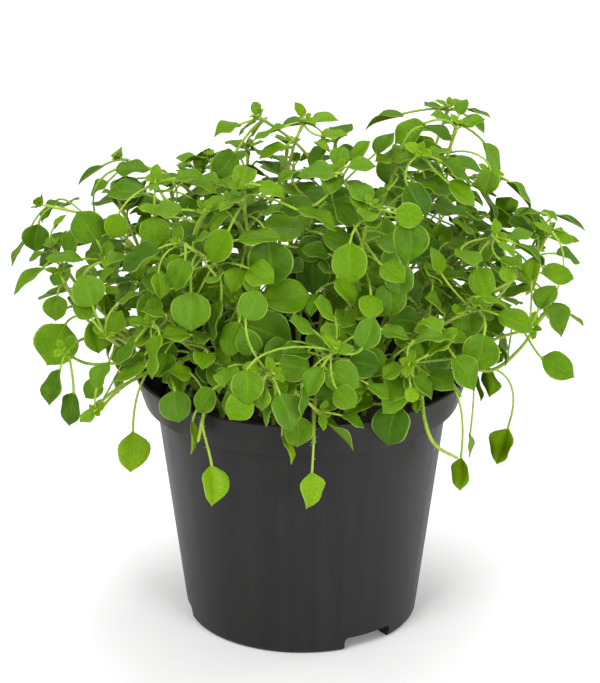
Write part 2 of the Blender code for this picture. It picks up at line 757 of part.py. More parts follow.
class Spots:
    """Every place on the stems that a leaf can grow from, and how loaded its stem is."""

    def __init__(self, stems):
        spots = [
            (point, (path[i] - path[i - 1]).normalized(), owner)
            for owner, stem in enumerate(stems)
            for path in stem.paths
            for i, point in enumerate(path)
            if 1 < i < len(path) - 1 and point.z > SOIL_TOP + LOWEST_LEAF
        ]
        self.places = np.array([spot[0] for spot in spots])
        self.tangents = np.array([spot[1] for spot in spots])
        self.owners = np.array([spot[2] for spot in spots])
        self.load = np.zeros(len(spots))

    def best(self, base, axis, longest):
        """Some of the places that suit a blade, best first: its own point, way and owner."""
        gaps = np.array(base) - self.places
        reach = np.linalg.norm(gaps, axis=1)
        along = (gaps @ np.array(axis)) / reach
        leaving = (gaps * self.tangents).sum(axis=1)
        cost = np.abs(reach - BEST_STALK) * STALK_COST + BEND_COST * (1 - along)
        cost += BACKWARD_COST * (leaving < 0) + self.load
        fits = (reach > SHORTEST_STALK) & (reach < longest) & (along > LEAST_STRAIGHT)
        for i in np.argsort(np.where(fits, cost, np.inf))[:60:5]:
            if fits[i]:
                yield Vector(self.places[i]), Vector(self.tangents[i]), int(self.owners[i])


def place_front_leaves(stems, crowd):
    """The leaves seen in the front view, each on the stem that suits it best."""
    rng = random.Random(FRONT_SEED)
    spots = Spots(stems)
    for across, up, length, width, heading in FRONT_LEAVES:
        facing = min(1.0, width / (LEAF_ROUNDNESS * length))
        true_width = max(width, LEAF_ROUNDNESS * length * NARROWEST)
        axis, normal = front_leaf_lie(heading, facing, rng)
        way, share = view_depth(across, up)
        blade = (axis, normal, length, true_width, rng.uniform(0.02, 0.12))
        for longest, step in product(LONGEST_STALKS, range(LEAF_SHARE_STEPS)):
            centre = VIEW_POINT + way * (share + LEAF_SHARE + step * LEAF_SHARE_STEP)
            base = centre - axis * (MIDDLE * length)
            leaf, owner = leaf_on_best_spot(base, blade, longest, spots, crowd)
            if leaf:
                keep_leaf(leaf, owner, stems, crowd)
                spots.load += LOAD_COST * (spots.owners == owner)
                break


def leaf_on_best_spot(base, blade, longest, spots, crowd):
    """The leaf with its stalk from the best clear place on a stem, and that stem."""
    axis = blade[0]
    for root, tangent, owner in spots.best(base, axis, longest):
        stretch = (base - root).length
        bend = (base - axis * stretch * 0.4 + root + tangent * stretch * 0.35) / 2
        leaf = Leaf(root, bend, base, *blade)
        if leaf_is_clear(leaf, owner, crowd):
            return leaf, owner
    return None, None


def place_pairs(stems, crowd):
    """Opposite pairs of leaves down each shoot, off the front side."""
    rng = random.Random(PAIR_SEED)
    placed = 0
    for below, length, stalk in PAIR_STEPS:
        for owner, stem in enumerate(stems):
            for path in stem.paths:
                point, ahead = point_below_tip(path, below)
                if point is None or placed >= MOST_PAIR_LEAVES or in_front(point):
                    continue
                if point.z > AIRY_Z and below > TIP_PAIR:
                    continue
                turn = rng.uniform(0, math.tau)
                for angle in (turn, turn + math.pi):
                    leaf = pair_leaf(point, ahead, angle, length, stalk, owner, crowd, rng)
                    if leaf and not stands_up(leaf):
                        keep_leaf(leaf, owner, stems, crowd)
                        placed += 1


def stands_up(leaf):
    """True for a large leaf that would stand upright at the plant's top."""
    return leaf.length > LONGEST_UPRIGHT and leaf.base.z > NODDING_Z and leaf.axis.z > UPRIGHT


def in_front(point):
    """True where the mound faces the front and the leaves seen there are placed one by one."""
    out = outward(point)
    return out.y < FRONT_SIDE and out.z < TOP_SIDE


def point_below_tip(path, below):
    """The point this far down the path from its tip, and the way the path goes there."""
    gone = 0.0
    for i in range(len(path) - 1, 1, -1):
        if gone >= below:
            ahead = (path[i] - path[i - 1]).normalized()
            return (path[i], ahead) if path[i].z > SOIL_TOP + LOWEST_LEAF else (None, None)
        gone += (path[i] - path[i - 1]).length
    return None, None


def pair_leaf(point, ahead, turn, length, stalk, owner, crowd, rng):
    """One leaf of a pair: where it can't be clear, it is tried turned, raised and shorter."""
    side = ahead.orthogonal().normalized()
    other = ahead.cross(side)
    out = outward(point)
    for attempt in range(PAIR_TRIES):
        loose = 0.15 + attempt * 0.05
        angle = turn + rng.uniform(-1, 1) * loose * 1.5
        away = side * math.cos(angle) + other * math.sin(angle)
        size = length * rng.uniform(0.85, 1.15) * (1 - 0.012 * attempt)
        reach = stalk * rng.uniform(0.7, 1.3) + 1.2
        leave = (away + ahead * rng.uniform(0.5, 1.1) + out * 0.3).normalized()
        base = point + leave * reach
        axis = (away + out * rng.uniform(0.1, 0.7) - UP * rng.uniform(-0.1, 0.35)).normalized()
        normal = out * 0.6 + UP * 0.75
        normal += Vector([rng.uniform(-1, 1) for _ in range(3)]) * 0.35
        if abs(normal.normalized().dot(axis)) > 0.93:  # too near to edge-on to stand up
            continue
        if leave.dot(axis) < LEAST_STRAIGHT:
            continue
        bend = point + leave * reach * 0.55 + UP * 0.06 * reach
        width = size * rng.uniform(0.78, 0.9)
        leaf = Leaf(point, bend, base, axis, normal, size, width, rng.uniform(0.02, 0.16))
        if crowding(leaf.midrib(MIDDLE)[0]) < MOST_CROWDING and leaf_is_clear(leaf, owner, crowd):
            return leaf
    return None


def grow_plant():
    """Every stem with its leaves."""
    crowd = Crowd()
    crowd.add(*rim_solid(), RIM)
    stems = grow_stems(crowd)
    crowd.add(*soil_solid(), SOIL)
    place_front_leaves(stems, crowd)
    place_pairs(stems, crowd)
    return stems


def material(name, colour, roughness):
    """A plain material of the piece's own colour."""
    made = bpy.data.materials.new(name)
    made.use_nodes = True
    shader = made.node_tree.nodes["Principled BSDF"]
    shader.inputs["Base Color"].default_value = (*colour, 1)
    shader.inputs["Roughness"].default_value = roughness
    shader.inputs["Metallic"].default_value = 0
    made.diffuse_color = (*colour, 1)
    return made


def mesh_object(name, points, faces):
    """An object in the scene from points in millimetres."""
    mesh = bpy.data.meshes.new(name)
    mesh.from_pydata([point * MM for point in points], [], faces)
    mesh.update()
    made = bpy.data.objects.new(name, mesh)
    bpy.context.scene.collection.objects.link(made)
    return made


def turned(name, profile, sides):
    """A solid turned round the upright axis, from a profile that starts and ends on it."""
    points = [Vector((0, 0, profile[0][1])), Vector((0, 0, profile[-1][1]))]
    rings = profile[1:-1]
    for radius, height in rings:
        for k in range(sides):
            angle = math.tau * k / sides
            points.append(Vector((radius * math.cos(angle), radius * math.sin(angle), height)))
    faces = []
    last = 2 + (len(rings) - 1) * sides
    for k in range(sides):
        after = (k + 1) % sides
        faces.append((0, 2 + after, 2 + k))
        faces.append((1, last + k, last + after))
        for ring in range(len(rings) - 1):
            a, b = 2 + ring * sides + k, 2 + ring * sides + after
            faces.append((a, b, b + sides, a + sides))
    return mesh_object(name, points, faces)


def combine(target, others, operation):
    """Cuts the other objects from the target, or joins them to it, and removes them."""
    group = bpy.data.collections.new(target.name + "_group")
    bpy.context.scene.collection.children.link(group)
    for other in others:
        bpy.context.scene.collection.objects.unlink(other)
        group.objects.link(other)
    step = target.modifiers.new("combine", "BOOLEAN")
    step.operation = operation
    step.operand_type = "COLLECTION"
    step.collection = group
    step.solver = "EXACT"
    graph = bpy.context.evaluated_depsgraph_get()
    made = bpy.data.meshes.new_from_object(target.evaluated_get(graph))
    target.modifiers.clear()
    target.data = made
    for other in others:
        bpy.data.objects.remove(other)
    bpy.data.collections.remove(group)


def arc(centre_r, centre_z, radius, start, end, steps):
    """Points of a profile on an arc, by angles in degrees from straight out."""
    angles = [math.radians(start + (end - start) * k / steps) for k in range(steps + 1)]
    return [(centre_r + radius * math.cos(a), centre_z + radius * math.sin(a)) for a in angles]


def pot_outside():
    """The pot's outer profile, from the middle of its foot over the rim to the axis."""
    lip = 0.5
    return [
        (0, 0),
        *arc(BASE_R - BASE_ROUND, BASE_ROUND, BASE_ROUND, -90, 0, 2),
        (LEDGE_INNER_R, LEDGE_Z),
        (LEDGE_OUTER_R, LEDGE_Z),
        (RIM_R, POT_HEIGHT - lip),
        (RIM_R - lip, POT_HEIGHT),
        (0, POT_HEIGHT),
    ]


def pot_inside(gap=0.0, top=POT_HEIGHT + 5):
    """The pot's inner profile, or one this much further in."""
    flare = (RIM_R - LEDGE_OUTER_R) / (POT_HEIGHT - LEDGE_Z)
    inner = LEDGE_OUTER_R - WALL - gap
    ledge = LEDGE_Z + WALL
    return [
        (0, FLOOR + gap),
        (BASE_R - WALL - BASE_ROUND - gap, FLOOR + gap),
        (BASE_R - WALL - gap, FLOOR + BASE_ROUND + gap),
        (LEDGE_INNER_R - WALL - gap, ledge),
        (inner, ledge),
        (inner + flare * (top - ledge), top),
        (0, top),
    ]


def notch_block(name, angle, spare):
    """A block with round top corners at the pot's foot, this much wider than the notch."""
    half = NOTCH_WIDTH / 2 + spare
    top = NOTCH_HEIGHT + spare
    corner = NOTCH_CORNER
    below = -5.0
    corners = [
        (half, below),
        *arc(half - corner, top - corner, corner, 0, 90, 1),
        *arc(corner - half, top - corner, corner, 90, 180, 1),
        (-half, below),
    ]
    out = Vector((math.sin(angle), -math.cos(angle), 0))
    beside = UP.cross(out)
    rings = [
        [out * radius + beside * across + UP * height for across, height in corners]
        for radius in (NOTCH_INNER_R - spare, RIM_R)
    ]
    return mesh_object(name, *loft(rings))


def cylinder(name, x, y, radius, bottom, top, sides):
    """An upright cylinder with its axis at x and y."""
    rings = [
        [
            Vector((x + radius * math.cos(a), y + radius * math.sin(a), z))
            for a in (math.tau * k / sides for k in range(sides))
        ]
        for z in (bottom, top)
    ]
    return mesh_object(name, *loft(rings))


def notch_angles():
    """Where the drain notches are, from the front round to the right."""
    return [NOTCH_FIRST_ANGLE + math.tau * k / NOTCH_COUNT for k in range(NOTCH_COUNT)]


def make_pot():
    """The shell, its notches with walls of their own round them, and the drain holes."""
    pot = turned("pot", pot_outside(), POT_SIDES)
    hollow = turned("hollow", pot_inside(), POT_SIDES)
    blocks = [notch_block("block", angle, WALL) for angle in notch_angles()]
    combine(hollow, blocks, "DIFFERENCE")
    notches = [notch_block("notch", angle, 0) for angle in notch_angles()]
    drains = []
    for angle in notch_angles():
        between = angle + math.pi / NOTCH_COUNT
        x = DRAIN_RING_R * math.sin(between)
        y = -DRAIN_RING_R * math.cos(between)
        drains.append(cylinder("drain", x, y, DRAIN_R, -2, FLOOR + 2, DRAIN_SIDES))
    combine(pot, [hollow, *notches, *drains], "DIFFERENCE")
    pot.data.materials.append(material("pot_plastic", POT_COLOUR, 0.5))
    pot.data.shade_smooth()
    pot.data.set_sharp_from_angle(angle=math.radians(30))
    return pot


def soil_height(x, y):
    """The soil's uneven surface."""
    waves = math.sin(x * 0.31 + 1.0) * math.cos(y * 0.27) + math.sin((x + y) * 0.17)
    return SOIL_TOP + SOIL_RELIEF * waves * 0.5


def make_soil(stems):
    """The soil, with a plain hole for each stem."""
    inside = pot_inside(SOIL_GAP, SOIL_TOP)
    low_r, low_z = inside[2]
    ledge_r, ledge_z = inside[3]
    edge = low_r + (ledge_r - low_r) * (SOIL_TOP - low_z) / (ledge_z - low_z)
    profile = [*inside[:3], (edge, SOIL_TOP - SOIL_EDGE_DROP)]
    profile += [(radius, SOIL_TOP) for radius in reversed(SOIL_RINGS)]
    profile.append((0, SOIL_TOP))
    soil = turned("soil", profile, SOIL_SIDES)
    for point in soil.data.vertices:
        if point.co.z > (SOIL_TOP - 0.1) * MM:
            point.co.z = soil_height(point.co.x / MM, point.co.y / MM) * MM
    blocks = [notch_block("block", angle, WALL + SOIL_GAP) for angle in notch_angles()]
    bottom = SOIL_TOP - HOLE_DEPTH
    top = SOIL_TOP + HOLE_DEPTH
    feet = [stem.shoots[0][0] for stem in stems]
    holes = [cylinder("hole", at.x, at.y, HOLE_R, bottom, top, HOLE_SIDES) for at in feet]
    combine(soil, [*blocks, *holes], "DIFFERENCE")
    soil.data.materials.append(material("potting_soil", SOIL_COLOUR, 0.95))
    return soil


def make_stem(name, stem, green):
    """The stem with its side shoot and its leaves, joined into one solid."""
    whole = mesh_object(name, *shoot_solid(stem.shoots[0], 0))
    others = [
        mesh_object("shoot", *shoot_solid(path, k + 1))
        for k, path in enumerate(stem.shoots[1:])
    ]
    others += [mesh_object("leaf", *leaf.solid()) for leaf in stem.leaves]
    combine(whole, others, "UNION")
    drop_scraps(whole)
    whole.data.materials.append(green)
    return whole


def drop_scraps(whole):
    """Keeps the largest of the mesh's bodies, and merges faces that lie nearly flat together."""
    mesh = bmesh.new()
    mesh.from_mesh(whole.data)
    left = set(mesh.verts)
    bodies = []
    while left:
        body = set()
        front = [left.pop()]
        while front:
            vert = front.pop()
            body.add(vert)
            for edge in vert.link_edges:
                other = edge.other_vert(vert)
                if other in left:
                    left.remove(other)
                    front.append(other)
        bodies.append(body)
    bodies.sort(key=len, reverse=True)
    scraps = [vert for body in bodies[1:] for vert in body]
    bmesh.ops.delete(mesh, geom=scraps, context="VERTS")
    for angle in FLAT_ANGLES:
        plain = mesh.copy()
        bmesh.ops.dissolve_limit(
            plain, angle_limit=angle, verts=plain.verts, edges=plain.edges
        )
        bmesh.ops.triangulate(plain, faces=plain.faces)
        if all(len(edge.link_faces) == 2 for edge in plain.edges):
            break
    plain.to_mesh(whole.data)
    mesh.free()
    plain.free()


def main():
    for old in list(bpy.data.objects):
        bpy.data.objects.remove(old)
    stems = grow_plant()
    make_pot()
    make_soil(stems)
    green = material("foliage", LEAF_COLOUR, 0.55)
    for number, stem in enumerate(stems, 1):
        make_stem(f"stem_{number:02d}", stem, green)


main()
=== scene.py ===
"""The potted chickweed's looks: fine leaves, hairy stems, crumbly soil and a moulded pot.

The plant grows here by the same rules as its solids, so each leaf is where its solid is, and
goes on to smaller leaves. Its sizes and places are in millimetres, and meshes are in metres.
"""

import math
import random
from itertools import product

import bmesh
import bpy
import numpy as np
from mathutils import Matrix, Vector, noise
from mathutils.bvhtree import BVHTree


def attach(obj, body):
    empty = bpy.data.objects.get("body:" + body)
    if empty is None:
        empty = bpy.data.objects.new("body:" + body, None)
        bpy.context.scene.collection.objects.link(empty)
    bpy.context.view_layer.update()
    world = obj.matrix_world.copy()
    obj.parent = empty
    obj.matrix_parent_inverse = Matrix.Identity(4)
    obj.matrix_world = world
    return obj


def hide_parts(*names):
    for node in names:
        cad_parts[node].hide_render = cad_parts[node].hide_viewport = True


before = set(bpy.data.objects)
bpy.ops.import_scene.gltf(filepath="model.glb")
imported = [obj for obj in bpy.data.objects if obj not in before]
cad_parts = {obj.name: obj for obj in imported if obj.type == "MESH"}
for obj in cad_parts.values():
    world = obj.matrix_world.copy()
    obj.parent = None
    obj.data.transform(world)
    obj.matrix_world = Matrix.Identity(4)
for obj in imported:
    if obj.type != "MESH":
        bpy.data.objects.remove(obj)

MM = 0.001
UP = Vector((0, 0, 1))

# Pot
RIM_R = 60.0
POT_HEIGHT = 95.3
BASE_R = 41.7
BASE_ROUND = 2.0
LEDGE_Z = 82.7
LEDGE_INNER_R = 52.1
LEDGE_OUTER_R = 56.3
WALL = 1.1
FLOOR = 1.4
POT_SIDES = 48

# Drain notches in the bottom edge, and drain holes in the floor
NOTCH_COUNT = 3
NOTCH_FIRST_ANGLE = math.radians(35)
NOTCH_WIDTH = 19.5
NOTCH_HEIGHT = 5.0
NOTCH_CORNER = 1.5
NOTCH_INNER_R = 33.0
DRAIN_R = 4.0
DRAIN_RING_R = 20.0

# Soil
SOIL_TOP = 81.0
SOIL_RELIEF = 0.9
SOIL_GAP = 0.35
HOLE_DEPTH = 12.0

# Plant: stems
STEM_R = 0.8
STEM_TIP_R = 0.5
SIDE_ROOT_R = 0.38
MAIN_PIECES = 6
SIDE_PIECES = 3
CURVE_PIECES = 12
ROOT_DEPTH = HOLE_DEPTH - 0.3
ROOT_REACH = 44.0
ROOT_SPACING = 7.4
ROOT_TOWARDS_TIP = 0.46
UPRIGHT_FOOT = (2.0, 9.0)
RULED_STEMS = 52
LOWEST_POLAR = 1.12
TIP_DEPTH = 8.0
STEM_SPACING = 30.0
SHOOT_SPREAD = 21.0
SHORTEST_SHOOT = 18.0
SHOOT_CROWDING = 0.9
STEM_TRIES = 60
SHOOT_TRIES = 16
SHOOT_KNEE = 0.25
PATH_STEP = 2.0

# Plant: side shoots towards the leaves seen in front
SHOOT_SERVES = (2, 1)
SHOOT_REACH = (9.0, 36.0)
SHOOT_AIMS = 10
SHOOT_APART = 3.5
SHOOT_LEAN = 0.9
LOWEST_SHOOT = 7
SERVED = 10.0
NODE_BEHIND = 5.0

# Plant: the mound that the leaves fill, a rounded shape that narrows to the pot below
MOUND_X = 98.0
MOUND_Y = 88.0
MOUND_Z = 116.0
MOUND_TOPS_AT = (-98, -50, -20, 20, 50, 60, 72, 98)
MOUND_TOPS = (170, 177, 186, 187, 191, 190, 174, 172)
BACK_FROM_Y = 15.0
BACK_SLOPE = 0.3
MOUND_ROUND = 2.5
MOUND_MIDDLE_Z = 104.0
HANG_Z = 90.0
HANG_R = 66.0

# Plant: leaves
MOST_PAIR_LEAVES = 186
PAIR_TRIES = 14
AIRY_Z = 158.0
TIP_PAIR = 5.0
LONGEST_UPRIGHT = 11.8
NODDING_Z = 145.0
UPRIGHT = 0.5
MOST_CROWDING = 1.03
FRONT_SIDE = -0.15
TOP_SIDE = 0.85
CLEARANCE = 0.4
STALK_R = 0.45
BLADE_EDGE = 0.25
BLADE_KEEL = 0.45
LEAF_ROUNDNESS = 0.86
NARROWEST = 0.9
MIDDLE = 0.48
LONG_STALK = 13.0
LEAST_STRAIGHT = 0.15
STALK_STEPS = (0.0, 0.5)
ROOT_SHARE = 0.45
BLADE_STEPS = (0.0, 0.24, 0.74)
WIDEST_LOW = 0.86
ROUNDNESS = 0.6
OWN_STALK_FREE = 0.35
LOWEST_LEAF = 8.0

# Plant: what decides the stem that a front leaf grows from
BEST_STALK = 7.0
SHORTEST_STALK = 3.0
LONGEST_STALKS = (17.0, 24.0, 34.0)
STALK_COST = 0.8
BEND_COST = 9.0
BACKWARD_COST = 6.0
LOAD_COST = 0.5

# Owners, in the list of what is placed, of what isn't a stem
RIM = -1
SOIL = -2

# One seed for each set of random draws
ROUTE_SEED = 3
SHOOT_SEED = 5
FRONT_SEED = 11
PAIR_SEED = 17

# The front view, from this point and this far below the level. Places seen in it are
# millimetres across and up on an upright sheet that stands this far along the line of view.
VIEW_POINT = Vector((-0.6, -1000.0, 487.5))
VIEW_PITCH = 0.367
VIEW_SHEET = 1075.4
AHEAD = Vector((0, math.cos(VIEW_PITCH), -math.sin(VIEW_PITCH)))
ABOVE = Vector((0, math.sin(VIEW_PITCH), math.cos(VIEW_PITCH)))
ACROSS = Vector((1, 0, 0))
NEAREST_SHARE = 0.84
SHARE_STEP = 0.001
SHARE_STEPS = 240
LEAF_SHARE = 0.0015
LEAF_SHARE_STEP = 0.0025
LEAF_SHARE_STEPS = 22

# Stems with a place of their own: where each stands in the soil, then the points it passes
PLACED_STEMS = (
    ((-41, -10), (-50, -22, 101), (-62, -36, 100), (-70, -42, 93)),
    ((-28, -34), (-31, -48, 103), (-33, -59, 100), (-35, -66, 92)),
    ((4, -43), (4, -54, 102), (4, -63, 99), (4, -68, 92)),
    ((42, -8), (54, -14, 100), (64, -18, 98), (76, -12, 104), (86, -4, 116)),
    ((31, -29), (39, -38, 106), (41, -52, 99), (44, -57, 89), (54, -45, 77)),
    ((40, -19), (48, -31, 103), (55, -40, 98)),
    ((36, 2), (52, -8, 104), (69, -14, 106)),
    ((25, 6), (38, 10, 130), (48, 8, 160), (54, 4, 182)),
    ((37, 13), (62, 12, 112), (80, 8, 128), (87, 5, 143)),
    ((31, -7), (46, -4, 120), (60, 0, 150)),
    ((5, 15), (10, 20, 130), (12, 22, 171)),
    ((-6, 11), (-8, 17, 130), (-5, 20, 170)),
    ((-13, 18), (-20, 24, 130), (-19, 26, 167)),
    ((-20, 8), (-30, 14, 130), (-32, 20, 165)),
    ((-27, 0), (-40, 4, 125), (-46, 8, 158)),
    ((-33, 8), (-52, 8, 122), (-65, 4, 157)),
    ((-40, 1), (-66, 0, 110), (-80, -1, 126), (-87, -2, 139)),
    ((-37, -7), (-60, -12, 108), (-78, -14, 122)),
    ((-35, -17), (-52, -24, 106), (-70, -26, 104), (-81, -26, 108)),
    ((-22, -25), (-34, -38, 112), (-46, -50, 112)),
    ((-10, -34), (-14, -48, 112), (-16, -60, 112)),
    ((17, -37), (20, -50, 108), (22, -62, 110)),
    ((14, -20), (20, -32, 120), (26, -48, 132)),
    ((-12, -18), (-16, -30, 122), (-22, -46, 136)),
    ((-2, -8), (0, -14, 125), (2, -26, 152)),
    ((22, -14), (36, -20, 122), (46, -30, 140)),
    ((-24, -12), (-36, -20, 122), (-46, -30, 140)),
)

# Leaves seen in the front view: across, up, length, width, and the way the tip points,
# in degrees clockwise from up. Each stands at the mound's surface or as far behind it as it
# must to be clear of the leaves before it.
FRONT_LEAVES = (
    (-75, 60, 11.1, 2.9, -118), (-62, 53, 12.9, 12.5, 178), (-60, 62, 12.1, 7.1, 82),
    (-90, 47, 9.6, 5, -140), (-94, 37, 10.4, 10, 188), (-101, 32, 10.7, 2.5, 207),
    (-76, 41, 12.5, 12.1, -35), (-82, 35, 9.3, 7.1, 192), (-66, 41, 9.6, 8.6, 195),
    (-70, 34, 15.7, 4.6, -100), (-84, 30, 12.9, 4.3, -88), (-97, 22, 14.3, 4.6, -125),
    (-76, 18, 11.8, 11.8, -20), (-61, 16, 8.9, 3.2, 64), (-52, 39, 11.4, 10.7, 180),
    (-57, 30, 15, 7.9, -112), (-42, 39, 12.9, 6.4, 55), (-47, 47, 10, 6.4, -88),
    (-38, 47, 12.1, 7.9, 92), (-51, 11, 16.4, 15, 176), (-43, 24, 11.4, 9.3, 200),
    (-87, 12, 8.9, 8.6, 185), (-77, 12, 9.3, 8.6, -35), (-87, -1, 16.4, 15.7, 205),
    (-72, 2, 12.9, 10.7, 172), (-88, -16, 12.9, 7.1, 196), (-71, -12, 10.7, 7.1, 10),
    (-82, -24, 12.1, 8.6, 200), (-73, -24, 10, 3.6, 214), (-60, -39, 15.4, 12.1, 179),
    (-52, -41, 13.6, 5, 152), (-61, -11, 12.1, 5.7, -98), (-62, -4, 10, 4.6, 215),
    (-52, -5, 15, 6.4, 190), (-44, -23, 11.8, 11.1, 173), (-38, -34, 11.8, 2.9, 172),
    (-39, 11, 13.6, 13.6, 180), (-31, -51, 14.6, 10.7, 177), (-26, 76, 10.4, 4.3, -112),
    (-27, 63, 12.1, 10, -140), (-10, 68, 10, 5, -98), (-1, 78, 11.8, 3.6, 78),
    (-11, 75, 12.1, 3.6, -110), (12, 74, 9.3, 3.9, 72), (6, 66, 9.3, 6.1, -145),
    (6, 60, 12.9, 7.1, -92), (10, 50, 19.3, 10, 97), (-10, 54, 9.3, 6.4, 112),
    (-6, 41, 15.7, 10.7, -85), (-1, 48, 11.4, 8.6, -95), (6, 44, 15, 5.7, 112),
    (19, 46, 14.3, 10.7, 105), (29, 38, 12.9, 11.4, 192), (14, 36, 12.9, 9.3, 112),
    (4, 33, 10.7, 9.3, 95), (-15, 37, 15, 6.1, 85), (-29, 34, 12.9, 10.4, 215),
    (-11, 28, 16.4, 15.7, 180), (30, 71, 10, 6.4, 30), (33, 62, 13.6, 11.4, 178),
    (21, 68, 10, 5.4, 35), (22, 63, 9.6, 5.7, 85), (30, 80, 14.3, 3.2, -102),
    (27, 52, 10, 4.6, -112), (-30, 22, 14.3, 13.6, 5), (-17, 22, 9.6, 6.4, 0),
    (-17, 13, 11.1, 10, 25), (-5, 16, 17.1, 12.9, 82), (-30, 8, 14.3, 5, 207),
    (-11, 3, 16.4, 15.7, 112), (-24, 1, 12.9, 9.3, 202), (-29, -10, 15.7, 9.6, 190),
    (-19, -16, 11.8, 11.1, 180), (-22, -23, 11.1, 9.6, 212), (-2, -9, 11.8, 10.7, 102),
    (5, -14, 11.4, 7.1, 215), (15, -13, 12.9, 11.1, 118), (16, 12, 10.7, 9.6, 100),
    (11, 1, 11.8, 5.7, 64), (24, 3, 11.4, 9.3, 20), (21, -7, 12.1, 8.6, 195),
    (-5, -25, 12.9, 10.7, 160), (-11, -25, 9.6, 5, 200), (-1, -32, 11.4, 10, 180),
    (20, -21, 12.9, 9.3, -75), (19, -28, 8.9, 3.6, 102), (1, -22, 10.7, 2.9, 175),
    (33, -30, 15.4, 12.9, 198), (32, 15, 12.1, 10.7, 180), (-14, -20, 9.3, 6.8, 192),
    (48, 82, 13.6, 6.4, -112), (63, 78, 8.9, 4.6, 122), (49, 75, 11.4, 4.3, 112),
    (39, 75, 12.9, 9.3, -110), (69, 66, 12.5, 6.1, 140), (60, 63, 11.4, 6.1, 100),
    (56, 61, 13.6, 5, 118), (67, 57, 8.9, 8.6, 195), (58, 53, 11.8, 7.1, 130),
    (47, 68, 10.7, 7.1, 112), (45, 63, 12.9, 5, 95), (42, 51, 12.9, 10.4, 140),
    (36, 54, 8.9, 6.1, -60), (46, 55, 10, 4.3, 108), (54, 47, 13.2, 6.8, 110),
    (79, 53, 13.2, 2.5, 120), (94, 37, 9.6, 5.4, 92), (92, 24, 11.8, 7.5, 95),
    (83, 26, 8.9, 6.4, 5), (63, 32, 15.7, 7.9, 148), (69, 34, 12.9, 6.4, 120),
    (82, 32, 10.7, 2.5, 115), (78, 18, 12.1, 4.3, -98), (88, 16, 10.7, 7.5, 25),
    (92, 8, 12.9, 9.3, 152), (77, 7, 13.6, 8.9, 112), (48, 20, 15.7, 13.6, 200),
    (49, 29, 10, 5.7, -18), (56, 23, 12.1, 5, 95), (65, 21, 11.4, 9.6, 160),
    (61, 17, 12.9, 5, -85), (69, 14, 10.7, 3.6, 115), (60, 8, 14.3, 11.8, 180),
    (64, -4, 13.6, 12.9, 195), (59, -11, 13.6, 10, 145), (60, -5, 12.1, 2.9, 85),
    (47, 1, 12.1, 4.3, 80), (40, -3, 10, 6.1, -52), (50, -2, 9.6, 4.3, 60),
    (41, -9, 12.9, 11.1, 188), (44, -16, 10, 5.7, 130), (37, 8, 10.7, 9.3, 132),
    (34, 3, 10, 5.7, 100), (36, 22, 11.4, 10, 180), (92, -9, 13.2, 10, 122),
    (72, -37, 14.3, 9.6, 205), (57, -47, 12.1, 6.8, 185), (4, -53, 13.6, 9.6, 178),
    (-4, -38, 10.7, 3.2, 148), (-40, 59, 9.3, 5, 80), (-34, 55, 12.1, 4.3, 100),
    (50, 36, 12.9, 10, 175), (39, 36, 13.6, 12.1, 178), (18, 28, 14.3, 12.1, 180),
    (5, 24, 14.3, 12.1, 178), (-21, 15, 9.3, 7.9, 190), (-38, 33, 10.7, 8.6, 185),
    (-50, 20, 9.3, 7.1, 170), (30, 26, 10.7, 7.1, 80), (14, 52, 10.7, 7.9, 60),
    (39, 45, 10, 8.6, 100), (-16, 47, 10.7, 5, -80),
)

# More leaves seen in the front view, too small for the solids
SMALL_FRONT_LEAVES = (
    (-72, 55, 8.2, 4.6, -112), (-86, 43, 6.4, 2.1, 28), (-74, 30, 7.1, 6.1, 175),
    (-69, 24, 7.5, 3.6, 38), (-67, 18, 5.7, 3.6, 100), (-74, -17, 7.9, 7.1, -140),
    (-15, 77, 8.6, 1.4, 42), (8, 70, 6.4, 2.5, -48), (-5, 59, 7.9, 2.9, -112),
    (-35, 46, 8.6, 8.6, 150), (31, -10, 10, 2.1, 218), (-21, -7, 8.6, 6.8, 180),
    (58, 84, 6.8, 5.4, 18), (64, 82, 8.6, 1.4, 95), (68, 49, 11.4, 2.1, 140),
    (89, 45, 7.1, 3.6, 110), (82, 46, 8.6, 1.4, -88), (87, 41, 7.9, 3.2, -52),
    (97, 43, 11.4, 1.8, 108), (74, 24, 6.1, 5.4, 180), (75, 28, 7.9, 3.2, 100),
    (74, 33, 7.9, 3.6, 132), (99, 8, 6.4, 1.4, 132), (40, -19, 5.7, 5, 170),
    (89, -1, 6.1, 2.9, -8), (61, -37, 8.6, 2.5, 178), (14, -32, 15, 1.4, 120),
    (-50, 58, 8.6, 4.3, -80), (79, 38, 8.6, 5, 60), (-54, 47, 7.9, 5, -60),
)

# Leaf pairs down from the tip of a shoot: how far below the tip, blade length, stalk length
PAIR_STEPS = (
    (0.5, 9.5, 2.0),
    (10.0, 12.5, 6.0),
    (22.0, 13.5, 11.0),
    (36.0, 13.5, 14.0),
)

# Leaves that only the scene has: pairs between the solids' pairs
MORE_PAIR_STEPS = (
    (5.0, 7.5, 3.0),
    (16.0, 11.0, 8.0),
    (29.0, 12.0, 12.0),
    (43.0, 12.0, 14.0),
    (56.0, 11.0, 14.0),
    (70.0, 10.0, 13.0),
)
MOST_MORE_LEAVES = 420
LOWEST_MORE = 110.0
DEEP_CROWDING = 0.86

# Where the mound stays airy: at its ends, and this deep under its top
AIRY_X = 66.0
AIRY_BACK = 0.38
AIRY_AT = (-60.0, -20.0, 20.0)
AIRY_DEPTHS = (40.0, 27.0, 27.0)

# Buds: for each of two pairs its length, how closed it is, how far out and up of the tip
BUD_PAIRS = ((3.4, 1.1, 0.3, 0.5), (5.2, 0.6, 0.6, 0.8))
BUD_SIZES = (0.8, 1.2)
BUD_WIDTH = 0.7
BUD_DROOP = 0.1
BUD_ROOT = 0.5
BUD_RISE = 0.5
BUD_LOOSE = 0.2
LOWEST_BUD = 100.0

